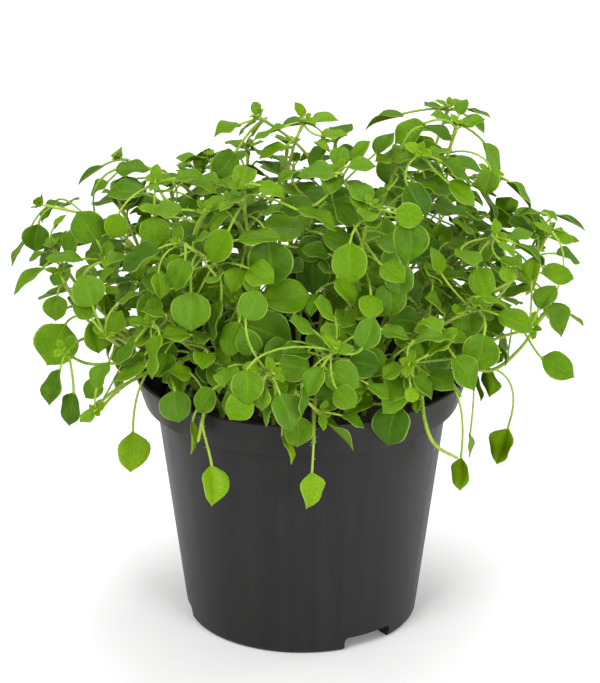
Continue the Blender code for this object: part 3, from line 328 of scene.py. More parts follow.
# Leaves inside the mound, the lowest one for the back and for the front
MOST_DEEP_LEAVES = 230
DEEP_TRIES = 1600
DEEP_LOWEST_POLAR = 1.1
DEEP_DEPTHS = (5.0, 34.0)
DEEP_LENGTHS = (8.0, 11.5)
DEEP_WIDTHS = (0.8, 0.95)
DEEP_SCATTER = 0.9
DEEP_EDGE_ON = 0.9
DEEP_REACH_X = 62.0
DEEP_STALK = 20.0
LOWEST_DEEP = (92.0, 108.0)
HIGHEST_DEEP = 152.0

# How far leaves hang and droop, and what turns their upper sides
LEAF_HANGS = (-0.1, 0.35)
LEAF_DROOPS = (0.02, 0.16)
NORMAL_OUT = 0.6
NORMAL_UP = 0.75
NORMAL_SCATTER = 0.35

# Seeds of what only the scene has
SMALL_SEED = 23
MORE_SEED = 29
BUD_SEED = 31
SHAPE_SEED = 37
HAIR_SEED = 41
CRUMB_SEED = 43
DEEP_SEED = 47

# Fine leaves: rows along the blade and columns across it, and the shares of even rows and of
# rows that close up to both ends
BLADE_ROWS = 12
SMALL_ROWS = 8
SMALL_LEAF = 7.0
EVEN_ROWS = 0.4
EASED_ROWS = 0.6
COLUMNS = (-1.0, -0.92, -0.62, -0.3, 0.0, 0.3, 0.62, 0.92, 1.0)
MARGIN = 0.99
BLADE_THICK = 0.24
MIDRIB_THICK = 0.3
MIDRIB_HALF = 0.18
MIDRIB_TAPER = 0.8

# Fine leaves: the outline's point and its base, which narrows more in a tapered leaf
TIP_FROM = 0.55
TIP_SPAN = 0.45
TIP_NARROW = 1.2
BASE_SPAN = 0.2
BASE_SPAN_TAPERED = 0.15
BASE_NARROW = 0.5
BASE_NARROW_TAPERED = 1.7
MOST_TAPER = 0.4
NECK_HALF = 0.34
TIP_HALF = 0.03

# Fine leaves: the fold along the midrib, waves of the margin, a cupped length, a nodding tip,
# a twist and a sideways bow
FOLDS = (0.2, 0.62)
FOLD_RISE = 1.7
FOLD_FLATTEN = 1.15
BLADE_SUNK = 0.2
WAVES = (0.03, 0.11)
WAVE_RATE = 7.5
WAVE_SHIFT = 0.8
CUPS = (-0.12, 0.16)
CUP_EASE = 0.3
NOD = 0.09
NOD_FROM = 0.72
MOST_NOD = 9
TWIST = 0.5
TWIST_FROM = 0.3
BOW = 0.06

# How young a leaf looks, by its length
YOUNG_FROM = 1.15
YOUNG_LENGTH = 9.5
YOUNG_SPREAD = 0.1

# Fine stalks: radii at places from the root to just inside the blade
STALK_SIDES = 6
STALK_ROWS = 8
STALK_AT = (0, 0.12, 0.6, 1, 1.05)
STALK_RADII = (0.52, 0.45, 0.43, 0.48, 0.2)
STALK_FLAT = 0.85
STALK_EASE = 0.33
STALK_INTO_BLADE = 0.07
SMALL_STALK = 0.62
SMALL_STALK_LENGTH = 32

# Fine stems
STEM_SIDES = 9
STEM_STEPS = 9
STEM_BASE_R = 0.84
STEM_END_R = 0.54
SIDE_BASE_R = 0.6
SIDE_END_R = 0.48
SIDE_YOUNG = 0.6
SHOOT_TIP_R = 0.15
JOINT_SWELL = 0.2
JOINT_REACH = 1.3
JOINT_ON_SHOOT = 0.5
ROOT_OFF_STEM = 1.6

# Hairs, for each millimetre of stem and of stalk
STEM_HAIRS = 1.7
STALK_HAIRS = 1.0
HAIR_R = 0.034
HAIR_LENGTHS = (0.4, 1.3)
HAIR_SUNK = 0.9
HAIR_LEANS = (0.35, 0.3)
HAIR_KNEE = 0.55
HAIR_KNEE_THICK = 0.6

# Material slots of a stem's mesh
UPPER, UNDER, STALK, STEM, HAIR = range(5)

# Fine soil
SOIL_FINE_SIDES = 132
SOIL_FINE_RINGS = 46
SOIL_EDGE_DEEP = 2.5
SOIL_LOW_IN = 8
SOIL_BOTTOM = 28.0
LUMP_SCALE = 0.22
LUMP_HEIGHT = 0.9

# Crumbs on the soil, of which some are flat chips and some are fibres
CRUMBS = 620
CRUMB_LEAST = 0.45
CRUMB_SPREAD = 1.3
CRUMB_ROUGH = 0.22
CRUMB_RISE = 0.25
CHIP_EVERY = 7
CHIP_SHAPE = (1.9, 0.9, 0.35)
FIBRE_EVERY = 11
FIBRE_LENGTHS = (3, 6)
FIBRE_R = 0.16

# Fine pot: a hollow foot inside its ring, and rounded edges
POT_FINE_SIDES = 168
DRAIN_FINE_SIDES = 32
NOTCH_CORNER_PIECES = 5
FOOT_HOLLOW = 0.35
FOOT_HOLLOW_R = 24.0
FOOT_RING_R = 25.5
LIP_ROUND = 0.5
LIP_DEEP = 0.4
LIP_WIDER = 0.35
LEDGE_ROUND = 0.6
CORNER_ROUND = 0.5
POT_SHARP = math.radians(40)

# Leaf looks: dark, plain, bright, painted sky sheen, vein and edge colours, roughness and what
# shines through
LEAF_LOOKS = (
    ("leaf_upper", (0.032, 0.096, 0.001), (0.112, 0.242, 0.0012), (0.192, 0.352, 0.002),
     (0.085, 0.195, 0.012), (0.225, 0.36, 0.008), (0.4, 0.55, 0.09), 0.42, 0.1),
    ("leaf_under", (0.09, 0.2, 0.004), (0.165, 0.305, 0.005), (0.235, 0.395, 0.007),
     (0.14, 0.26, 0.022), (0.26, 0.4, 0.025), (0.34, 0.5, 0.03), 0.6, 0.14),
)
LEAF_SHINE = 0.1
YOUTH_AND_LIGHT_SHARE = 0.85
SIDE_VEINS = 5.2
SIDE_VEIN_WIDTH = 0.11
VEIN_CURVE = 1.4
VEIN_SLANT = 0.3
SIDE_VEIN_SHARE = 0.06
MIDRIB_SHARE = 0.2
MARGIN_SHARE = 0.6
VEIN_RELIEF = 0.00014
LEAF_GRAIN = 0.00015
LEAF_BLOTCHES = 260
LEAF_GRAINS = 1500
LEAF_CELLS = 1900
PAINTED_SHEEN_CHANCE = 7.3

# Stem looks: plain, pale and old colours, and the tone from which a stem looks old
STEM_LOOKS = (
    ("leaf_stalk", (0.19, 0.34, 0.016), (0.34, 0.48, 0.05), (0.05, 0.03, 0.012), 0.84),
    ("stem_skin", (0.23, 0.37, 0.025), (0.4, 0.52, 0.075), (0.07, 0.045, 0.02), 0.8),
)
STEM_THROUGH = 0.12
STEM_BLOTCHES = 420
STEM_LINES = 1500
STEM_GRAIN = 0.0001
HAIR_COLOURS = ((0.72, 0.78, 0.55), (0.9, 0.93, 0.8))
HAIR_SHADES = 900

# Looks of the soil, its crumbs and the pot: colours, reliefs in metres, and how many of each
# pattern there are to a metre, or round the pot
PEAT_DARK = (0.008, 0.005, 0.0035)
PEAT_PLAIN = (0.045, 0.028, 0.016)
PEAT_GRAIN = (0.07, 0.045, 0.026)
PEAT_SPECK = (0.16, 0.11, 0.065)
PEAT_CLODS = 190
PEAT_GRAINS = 900
PEAT_SPECKS = 1500
PEAT_DAMP = 70
PEAT_RELIEF = 0.0008
BARK_DARK = (0.012, 0.008, 0.005)
BARK_PLAIN = (0.085, 0.05, 0.026)
BARK_LIGHT = (0.24, 0.17, 0.1)
BARK_STAIN = (0.01, 0.007, 0.005)
BARK_STAINS = 700
BARK_GRAINS = 1300
BARK_RELIEF = 0.0003
POT_SHINE = 0.17
POT_DARK = (0.0115, 0.0112, 0.0112)
POT_PLAIN = (0.0155, 0.015, 0.0148)
POT_STREAK = (0.028, 0.0268, 0.0265)
POT_DUST = (0.16, 0.14, 0.12)
POT_CLOUDS = 9
POT_LINES = 55
POT_GRAINS = 2400
POT_SPECKS = 900
POT_LINE_RELIEF = 0.0001
POT_GRAIN_RELIEF = 0.00006

# Floor, sky and camera
FLOOR_REACH = 9000
FLOOR_COLOUR = (0.86, 0.86, 0.86, 1)
SKY_STRENGTH = 0.6
SENSOR_WIDTH = 36.0
VIEW_FOCAL = 3011.2
FRAME_HEIGHT = 683

# Lights: place in metres, height of what it aims at, size and power
LIGHTS = (
    ("key", (-0.7, -1.2, 1.3), 0.12, 0.8, 20),
    ("fill", (0.8, -1.2, 0.5), 0.08, 0.7, 14.5),
    ("top", (0.1, 0.4, 1.7), 0.12, 1.0, 18),
    ("left_side", (-1.0, 0.45, 0.4), 0.08, 0.45, 1.1),
    ("right_side", (1.0, 0.45, 0.4), 0.08, 0.45, 2.4),
)


def smooth_step(value):
    """From 0 to 1, with an even start and end."""
    value = min(1.0, max(0.0, value))
    return value * value * (3 - 2 * value)


def crowding(point):
    """Under 1 inside the mound of leaves, 1 on its surface and more outside."""
    blend = smooth_step((point.z - HANG_Z) / (MOUND_Z - HANG_Z))
    across = HANG_R + (MOUND_X - HANG_R) * blend
    along = HANG_R + (MOUND_Y - HANG_R) * blend
    spread = math.hypot(point.x / across, point.y / along)
    top = np.interp(point.x, MOUND_TOPS_AT, MOUND_TOPS)
    top -= max(0.0, point.y - BACK_FROM_Y) * BACK_SLOPE
    rise = max(0.0, point.z - MOUND_Z) / (top - MOUND_Z)
    return (spread**MOUND_ROUND + rise**MOUND_ROUND) ** (1 / MOUND_ROUND)


def outward(point):
    """The way out of the mound at a point."""
    step = 1.5
    slope = [
        crowding(point + axis * step) - crowding(point - axis * step)
        for axis in (Vector((1, 0, 0)), Vector((0, 1, 0)), UP)
    ]
    return Vector(slope).normalized()


def mound_point(azimuth, polar, depth):
    """The point this deep under the mound's surface in a direction from its middle."""
    middle = UP * MOUND_MIDDLE_Z
    way = Vector(
        (
            math.sin(polar) * math.cos(azimuth),
            math.sin(polar) * math.sin(azimuth),
            math.cos(polar),
        )
    )
    low = 0.0
    high = MOUND_X + MOUND_Z
    for _ in range(24):
        half = (low + high) / 2
        if crowding(middle + way * half) < 1:
            low = half
        else:
            high = half
    return middle + way * (low - depth)


def view_depth(across, up):
    """How far along the line of view the mound's surface is, or the point nearest to it."""
    way = AHEAD * VIEW_SHEET + ACROSS * across + ABOVE * up
    best = (math.inf, 1.0)
    for step in range(SHARE_STEPS):
        share = NEAREST_SHARE + step * SHARE_STEP
        value = crowding(VIEW_POINT + way * share)
        if value < 1:
            return way, share
        best = min(best, (value, share))
    return way, best[1]


def smooth_path(points, pieces):
    """Points of a smooth curve through the given ones, with this many pieces between two."""
    ends = [points[0] * 2 - points[1], *points, points[-1] * 2 - points[-2]]
    path = [points[0].copy()]
    for before, start, end, after in zip(ends, ends[1:], ends[2:], ends[3:]):
        for piece in range(1, pieces + 1):
            t = piece / pieces
            path.append(
                (
                    start * 2
                    + (end - before) * t
                    + (before * 2 - start * 5 + end * 4 - after) * t * t
                    + (start * 3 - before - end * 3 + after) * t * t * t
                )
                / 2
            )
    return path


def tube_rings(path, start_r, end_r, sides, grow=0.0):
    """Rings of points round a path, turned as little as they can be from one to the next."""
    rings = []
    side = (path[1] - path[0]).orthogonal().normalized()
    for i, point in enumerate(path):
        ahead = (path[min(i + 1, len(path) - 1)] - path[max(i - 1, 0)]).normalized()
        side = (side - ahead * side.dot(ahead)).normalized()
        other = ahead.cross(side)
        radius = start_r + (end_r - start_r) * i / (len(path) - 1) + grow
        rings.append(
            [
                point + (side * math.cos(a) + other * math.sin(a)) * radius
                for a in (math.tau * k / sides for k in range(sides))
            ]
        )
    return rings


def loft(rings, tip=None):
    """A closed solid through rings of points, ending flat or in a point."""
    count = len(rings[0])
    points = [point for ring in rings for point in ring]
    faces = []
    for r in range(len(rings) - 1):
        for k in range(count):
            a = r * count + k
            b = r * count + (k + 1) % count
            faces += [(a, b, b + count), (a, b + count, a + count)]
    last = (len(rings) - 1) * count
    for k in range(1, count - 1):
        faces.append((0, k + 1, k))
    if tip is None:
        for k in range(1, count - 1):
            faces.append((last, last + k, last + k + 1))
    else:
        points.append(tip)
        for k in range(count):
            faces.append((last + k, last + (k + 1) % count, len(points) - 1))
    volume = sum(points[a].dot(points[b].cross(points[c])) for a, b, c in faces)
    if volume < 0:
        faces = [face[::-1] for face in faces]
    return points, faces


def outline(t):
    """Half the width of a leaf blade at t from its base to its tip, as a share of the most."""
    return (1 - (2 * t**WIDEST_LOW - 1) ** 2) ** ROUNDNESS


class Leaf:
    """A leaf: its stalk from the stem to the blade's base, and the blade's length and lie."""

    def __init__(self, root, bend, base, axis, normal, length, width, droop):
        self.root = root
        self.bend = bend
        self.base = base
        self.axis = axis
        self.normal = (normal - axis * normal.dot(axis)).normalized()
        self.side = self.axis.cross(self.normal)
        self.length = length
        self.width = width
        self.droop = droop

    def stalk(self, t):
        """The point on the stalk at t, and the sideways and upward directions there."""
        point = self.root * (1 - t) ** 2 + self.bend * (2 * t * (1 - t)) + self.base * t * t
        straight = (self.base - self.root).normalized()
        ahead = (straight * (1 - t) + self.axis * t).normalized()
        turn = self.axis.rotation_difference(ahead)
        return point, turn @ self.side, turn @ self.normal

    def midrib(self, t):
        """The point on the midrib at t, and the upper side's normal there."""
        point = (
            self.base
            + self.axis * (self.length * t)
            - self.normal * (self.droop * self.length * t * t)
        )
        return point, (self.normal + self.axis * (2 * self.droop * t)).normalized()

    def solid(self, grow=0.0, from_stalk=0.0):
        """Rings of three points: the two margins and the keel under the midrib."""
        rings = []
        bent = (self.base - self.root).length > LONG_STALK
        for step in STALK_STEPS if bent else STALK_STEPS[:1]:
            t = max(step, from_stalk)
            point, side, normal = self.stalk(t)
            share = ROOT_SHARE if t == 0 else 1
            rings.append(ring_of(point, normal, side, STALK_R * share, share, grow))
        for t in BLADE_STEPS:
            point, normal = self.midrib(t)
            half = max(STALK_R * 1.3, outline(t) * self.width / 2)
            rings.append(ring_of(point, normal, self.side, half, 1, grow))
        tip = self.midrib(1.0)[0] + self.axis * grow
        return loft(rings, tip)


def ring_of(point, normal, side, half, share, grow):
    """Three points round a leaf's middle line: its two margins, and its keel."""
    edge = normal * (BLADE_EDGE * share + grow)
    return [
        point - side * (half + grow) + edge,
        point + side * (half + grow) + edge,
        point - normal * (BLADE_KEEL * share + grow),
    ]


class Crowd:
    """Every solid placed so far, to keep the next one clear of them."""

    def __init__(self):
        self.trees = []
        self.owners = []
        self.balls = np.zeros((0, 4))

    def add(self, points, faces, owner):
        """Notes a solid and what it belongs to."""
        centre, reach = ball(points)
        self.trees.append(BVHTree.FromPolygons(points, faces))
        self.owners.append(owner)
        self.balls = np.vstack([self.balls, [*centre, reach]])

    def meets(self, points, faces, others_of=None, only=None):
        """True if the solid meets one of another owner, or one of the owner given as only."""
        centre, reach = ball(points)
        apart = np.linalg.norm(self.balls[:, :3] - np.array(centre), axis=1)
        near = np.nonzero(apart < self.balls[:, 3] + reach)[0]
        tree = None
        for i in near:
            if only is not None and self.owners[i] != only:
                continue
            if others_of is not None and self.owners[i] == others_of:
                continue
            if tree is None:
                tree = BVHTree.FromPolygons(points, faces)
            if self.trees[i].overlap(tree):
                return True
        return False


def ball(points):
    """Centre and radius of a ball round the points."""
    centre = sum(points, Vector()) / len(points)
    return centre, max((point - centre).length for point in points)


class Stem:
    """One leafy stem: the corners of its shoots, the close points on them, and its leaves."""

    def __init__(self, corners):
        self.shoots = []
        self.paths = []
        self.leaves = []
        self.add_shoot(corners)

    def add_shoot(self, corners):
        """Notes a shoot by its corners."""
        self.shoots.append(corners)
        self.paths.append(close_points(corners))

    def has_room(self, corners):
        """True if a side shoot starts off the others' roots and soon leaves its own stem."""
        root, knee = corners[:2]
        if any((other[0] - root).length < SHOOT_APART for other in self.shoots[1:]):
            return False
        return all((knee - point).length > SHOOT_APART for path in self.paths for point in path)


def thinned(path, pieces):
    """The path's points at even steps, first and last kept."""
    last = len(path) - 1
    return [path[round(last * k / pieces)] for k in range(pieces + 1)]


def shoot_solid(corners, shoot, grow=0.0):
    """A three-sided tube through a shoot's corners; a side shoot starts thin, inside its stem."""
    thick = STEM_R if shoot == 0 else SIDE_ROOT_R
    return loft(tube_rings(corners, thick, STEM_TIP_R, 3, grow))


def close_points(corners):
    """Points about a step apart along straight runs between the corners."""
    path = [corners[0].copy()]
    for start, end in zip(corners, corners[1:]):
        pieces = max(1, round((end - start).length / PATH_STEP))
        path += [start.lerp(end, k / pieces) for k in range(1, pieces + 1)]
    return path


def rim_solid():
    """The pot's collar and wall with a margin, which leaves and stems keep off."""
    spare = CLEARANCE + 0.3
    thick = 5.0
    profile = (
        (RIM_R + spare, POT_HEIGHT + spare),
        (LEDGE_OUTER_R + spare, LEDGE_Z - spare),
        (LEDGE_INNER_R + spare, LEDGE_Z - spare),
        (BASE_R + spare, 0.0),
        (BASE_R - thick, 0.0),
        (LEDGE_INNER_R - WALL - spare, LEDGE_Z),
        (LEDGE_OUTER_R - WALL - spare, LEDGE_Z + WALL + spare),
        (RIM_R - WALL - spare, POT_HEIGHT + spare),
    )
    points = []
    for k in range(POT_SIDES):
        a = math.tau * k / POT_SIDES
        points += [Vector((r * math.cos(a), r * math.sin(a), z)) for r, z in profile]
    faces = []
    count = len(profile)
    for k in range(POT_SIDES):
        here = k * count
        beyond = (k + 1) % POT_SIDES * count
        for i in range(count):
            j = (i + 1) % count
            faces += [(here + i, beyond + i, beyond + j), (here + i, beyond + j, here + j)]
    return points, faces


def soil_solid():
    """A flat block up to the soil's highest bumps, which leaves keep off."""
    top = SOIL_TOP + SOIL_RELIEF + 1.0
    sides = (-LEDGE_INNER_R, LEDGE_INNER_R)
    points = [Vector((x, y, z)) for x in sides for y in sides for z in (0, top)]
    quads = ((0, 1, 3, 2), (4, 6, 7, 5), (0, 4, 5, 1), (2, 3, 7, 6), (0, 2, 6, 4), (1, 5, 7, 3))
    return points, [t for a, b, c, d in quads for t in ((a, b, c), (a, c, d))]


def stem_routes():
    """Where each stem stands, and the points that it passes."""
    rng = random.Random(ROUTE_SEED)
    routes = [
        (Vector((*root, 0)), [Vector(point) for point in points])
        for root, *points in PLACED_STEMS
    ]
    turn = math.pi * (3 - math.sqrt(5))
    for k in range(RULED_STEMS):
        polar = math.acos(1 - LOWEST_POLAR * (k + 0.5) / RULED_STEMS)
        tip = mound_point(k * turn, polar, TIP_DEPTH)
        if any((tip - points[-1]).length < STEM_SPACING for _, points in routes):
            continue
        if tip.y < -20 and tip.z < 150:  # the low front is left to the placed stems
            continue
        root = Vector((tip.x, tip.y, 0)) * ROOT_TOWARDS_TIP
        foot = root + UP * SOIL_TOP
        rise = (tip - foot).length
        sway = Vector((rng.uniform(-1, 1), rng.uniform(-1, 1), 0)) * 4
        low = smooth_step((150 - tip.z) / 60)
        bow = foot.lerp(tip, 0.45 + 0.2 * low) + UP * (rise * 0.14 + 12 * low) + sway
        routes.append((root, [bow, tip]))
    return spaced_roots(routes)


def spaced_roots(routes):
    """The routes with their roots pushed apart, and kept inside the pot."""
    roots = [root.copy() for root, _ in routes]
    for _ in range(60):
        for i, a in enumerate(roots):
            for b in roots[i + 1 :]:
                apart = b - a
                short = ROOT_SPACING - apart.length
                if short > 0:
                    push = apart.normalized() * (short / 2)
                    a -= push
                    b += push
        for root in roots:
            if root.length > ROOT_REACH:
                root *= ROOT_REACH / root.length
    return [(root, points) for root, (_, points) in zip(roots, routes)]


def grow_stems(crowd):
    """The stems and their side shoots, each clear of the others."""
    rng = random.Random(SHOOT_SEED)
    stems = []
    for root, points in stem_routes():
        foot = root + UP * SOIL_TOP
        owner = len(stems)
        for attempt in range(STEM_TRIES):
            sway = min(attempt, 14) * 0.6
            moved = [
                point + Vector([rng.uniform(-1, 1) * sway for _ in range(3)])
                for point in points
            ]
            upright = [foot + UP * height for height in UPRIGHT_FOOT]
            path = smooth_path([*upright, *moved], CURVE_PIECES)
            corners = [foot - UP * ROOT_DEPTH, *thinned(path, MAIN_PIECES)]
            if not crowd.meets(*shoot_solid(corners, 0, CLEARANCE)):
                stems.append(Stem(corners))
                crowd.add(*shoot_solid(corners, 0), owner)
                break
    add_wanted_shoots(stems, crowd)
    for owner, stem in enumerate(stems):
        if len(stem.shoots) > 1:
            continue
        signs = (1, -1) if owner % 2 else (-1, 1)
        for sign in signs:
            if add_side_shoot(stem, owner, sign, rng, crowd):
                break
    return stems


def wanted_nodes():
    """Where the stalk of each front leaf would best leave a stem: a little behind its base."""
    wanted = []
    for across, up, length, _, heading in FRONT_LEAVES:
        angle = math.radians(heading)
        axis = ACROSS * math.sin(angle) + ABOVE * math.cos(angle)
        way, share = view_depth(across, up)
        centre = VIEW_POINT + way * (share + LEAF_SHARE)
        wanted.append(centre - axis * (MIDDLE * length + BEST_STALK) + AHEAD * NODE_BEHIND)
    return np.array(wanted)


def far_from(nodes, path):
    """Which of the nodes are too far from a path for a short stalk."""
    gaps = nodes[:, None] - np.array(path)[None]
    return np.linalg.norm(gaps, axis=2).min(axis=1) > SERVED


def add_wanted_shoots(stems, crowd):
    """Side shoots to where front leaves want a stem and none is near, most wanted first."""
    wanted = wanted_nodes()
    for stem in stems:
        for path in stem.paths:
            wanted = wanted[far_from(wanted, path)]
    for least in SHOOT_SERVES:
        for owner, stem in enumerate(stems):
            best = (least - 1, None)
            for end in wanted_ends(stem.paths[0], wanted):
                corners = shoot_towards(stem.paths[0], end)
                served = np.count_nonzero(~far_from(wanted, close_points(corners)))
                if served <= best[0] or not stem.has_room(corners):
                    continue
                if not crowd.meets(*shoot_solid(corners, 1, CLEARANCE), others_of=owner):
                    best = (served, corners)
            if best[1]:
                stem.add_shoot(best[1])
                crowd.add(*shoot_solid(best[1], 1), owner)
                wanted = wanted[far_from(wanted, stem.paths[-1])]


def wanted_ends(main, wanted):
    """The wanted nodes nearest to a stem, of those in a side shoot's reach."""
    gaps = np.linalg.norm(wanted[:, None] - np.array(main)[None], axis=2).min(axis=1)
    order = np.argsort(gaps)
    fits = [i for i in order if SHOOT_REACH[0] < gaps[i] < SHOOT_REACH[1]]
    return [Vector(wanted[i]) for i in fits[:SHOOT_AIMS]]


def shoot_towards(main, end):
    """The corners of a side shoot that leaves its stem below the end and bends up to it."""
    near = min(range(len(main)), key=lambda i: (main[i] - end).length)
    down = round((main[near] - end).length * SHOOT_LEAN / PATH_STEP)
    start = min(max(near - down, LOWEST_SHOOT), len(main) - 3)
    return side_corners(main, start, end)


def side_corners(main, start, end):
    """The corners of a side shoot from a place on its stem, along it at first, to an end."""
    root = main[start]
    ahead = (main[start + 1] - main[start - 1]).normalized()
    straight = end - root
    knee = root + (ahead + straight.normalized()) * straight.length * SHOOT_KNEE
    return thinned(smooth_path([root, knee, end], CURVE_PIECES), SIDE_PIECES)


def add_side_shoot(stem, owner, sign, rng, crowd):
    """Tries side shoots to one side of the stem's tip, and adds the first that is clear."""
    main = stem.paths[0]
    tip = main[-1]
    along = UP.cross(outward(tip)).normalized()
    for _ in range(SHOOT_TRIES):
        start = round(len(main) * rng.uniform(0.5, 0.72))
        end = tip + along * sign * SHOOT_SPREAD * rng.uniform(0.8, 1.2)
        end += UP * rng.uniform(-12, 8)
        end -= outward(end) * max(0.0, (crowding(end) - SHOOT_CROWDING) * 80)
        corners = side_corners(main, start, end)
        if (end - main[start]).length <= SHORTEST_SHOOT or not stem.has_room(corners):
            continue
        if crowd.meets(*shoot_solid(corners, 1, CLEARANCE), others_of=owner):
            continue
        stem.add_shoot(corners)
        crowd.add(*shoot_solid(corners, 1), owner)
        return True
    return False


def leaf_is_clear(leaf, owner, crowd):
    """True if the leaf is off all other stems, and touches its own stem by its root alone."""
    if crowd.meets(*leaf.solid(grow=CLEARANCE), others_of=owner):
        return False
    return not crowd.meets(*leaf.solid(from_stalk=OWN_STALK_FREE), only=owner)


def keep_leaf(leaf, owner, stems, crowd):
    """Notes the leaf on its stem, and keeps others off it."""
    stems[owner].leaves.append(leaf)
    crowd.add(*leaf.solid(), owner)


def front_leaf_lie(heading, facing, rng):
    """Axis and normal of a blade seen pointing this way, turned so that it looks narrower."""
    angle = math.radians(heading)
    axis = ACROSS * math.sin(angle) + ABOVE * math.cos(angle)
    to_view = -AHEAD
    beside = axis.cross(to_view)
    turn = math.acos(min(1.0, facing))
    normal = max(
        (to_view * math.cos(turn) + beside * math.sin(turn) * sign for sign in (1, -1)),
        key=lambda way: way.z,
    )
    nod = rng.uniform(-0.1, 0.25)
    axis = (axis * math.cos(nod) - normal * math.sin(nod)).normalized()
    return axis, normal


class Spots:
    """Every place on the stems that a leaf can grow from, and how loaded its stem is."""

    def __init__(self, stems):
        spots = [
            (point, (path[i] - path[i - 1]).normalized(), owner)
            for owner, stem in enumerate(stems)
            for path in stem.paths
            for i, point in enumerate(path)
            if 1 < i < len(path) - 1 and point.z > SOIL_TOP + LOWEST_LEAF
        ]
        self.places = np.array([spot[0] for spot in spots])
        self.tangents = np.array([spot[1] for spot in spots])
        self.owners = np.array([spot[2] for spot in spots])
        self.load = np.zeros(len(spots))

    def best(self, base, axis, longest):
        """Some of the places that suit a blade, best first: its own point, way and owner."""
        gaps = np.array(base) - self.places
        reach = np.linalg.norm(gaps, axis=1)
        along = (gaps @ np.array(axis)) / reach
        leaving = (gaps * self.tangents).sum(axis=1)
        cost = np.abs(reach - BEST_STALK) * STALK_COST + BEND_COST * (1 - along)
        cost += BACKWARD_COST * (leaving < 0) + self.load
        fits = (reach > SHORTEST_STALK) & (reach < longest) & (along > LEAST_STRAIGHT)
        for i in np.argsort(np.where(fits, cost, np.inf))[:60:5]:
            if fits[i]:
                yield Vector(self.places[i]), Vector(self.tangents[i]), int(self.owners[i])


def place_front_leaves(stems, crowd, entries, seed):
    """The leaves seen in the front view, each on the stem that suits it best."""
    rng = random.Random(seed)
    spots = Spots(stems)
    for across, up, length, width, heading in entries:
        facing = min(1.0, width / (LEAF_ROUNDNESS * length))
        true_width = max(width, LEAF_ROUNDNESS * length * NARROWEST)
        axis, normal = front_leaf_lie(heading, facing, rng)
        way, share = view_depth(across, up)
        blade = (axis, normal, length, true_width, rng.uniform(0.02, 0.12))
        for longest, step in product(LONGEST_STALKS, range(LEAF_SHARE_STEPS)):
            centre = VIEW_POINT + way * (share + LEAF_SHARE + step * LEAF_SHARE_STEP)
            base = centre - axis * (MIDDLE * length)
            leaf, owner = leaf_on_best_spot(base, blade, longest, spots, crowd)
            if leaf:
                keep_leaf(leaf, owner, stems, crowd)
                spots.load += LOAD_COST * (spots.owners == owner)
                break


def leaf_on_best_spot(base, blade, longest, spots, crowd):
    """The leaf with its stalk from the best clear place on a stem, and that stem."""
    axis = blade[0]
    for root, tangent, owner in spots.best(base, axis, longest):
        stretch = (base - root).length
        bend = (base - axis * stretch * 0.4 + root + tangent * stretch * 0.35) / 2
        leaf = Leaf(root, bend, base, *blade)
        if leaf_is_clear(leaf, owner, crowd):
            return leaf, owner
    return None, None


def place_pairs(stems, crowd, steps, most, seed, front_crowding):
    """Opposite pairs down each shoot; in front only this deep in the mound, or not at all."""
    rng = random.Random(seed)
    placed = 0
    for below, length, stalk in steps:
        for owner, stem in enumerate(stems):
            for path in stem.paths:
                point, ahead = point_below_tip(path, below)
                if point is None or placed >= most:
                    continue
                if point.z > AIRY_Z and below > TIP_PAIR:
                    continue
                if front_crowding and (abs(point.x) > AIRY_X or is_airy(point)):
                    continue
                if front_crowding and point.y < 0 and point.z < LOWEST_MORE:
                    continue
                limit = front_crowding if in_front(point) else MOST_CROWDING
                if limit == 0:
                    continue
                turn = rng.uniform(0, math.tau)
                for angle in (turn, turn + math.pi):
                    leaf = pair_leaf(
                        point, ahead, angle, length, stalk, owner, crowd, rng, limit
                    )
                    if leaf and not stands_up(leaf):
                        keep_leaf(leaf, owner, stems, crowd)
                        placed += 1


def stands_up(leaf):
    """True for a large leaf that would stand upright at the plant's top."""
    return leaf.length > LONGEST_UPRIGHT and leaf.base.z > NODDING_Z and leaf.axis.z > UPRIGHT


def in_front(point):
    """True where the mound faces the front and the leaves seen there are placed one by one."""
    out = outward(point)
    return out.y < FRONT_SIDE and out.z < TOP_SIDE


def point_below_tip(path, below):
    """The point this far down the path from its tip, and the way the path goes there."""
    gone = 0.0
    for i in range(len(path) - 1, 1, -1):
        if gone >= below:
            ahead = (path[i] - path[i - 1]).normalized()
            return (path[i], ahead) if path[i].z > SOIL_TOP + LOWEST_LEAF else (None, None)
        gone += (path[i] - path[i - 1]).length
    return None, None


def upward_normal(out, rng):
    """The way a leaf's upper side faces: out of the mound and up, and a little to one side."""
    scatter = Vector([rng.uniform(-1, 1) for _ in range(3)])
    return out * NORMAL_OUT + UP * NORMAL_UP + scatter * NORMAL_SCATTER


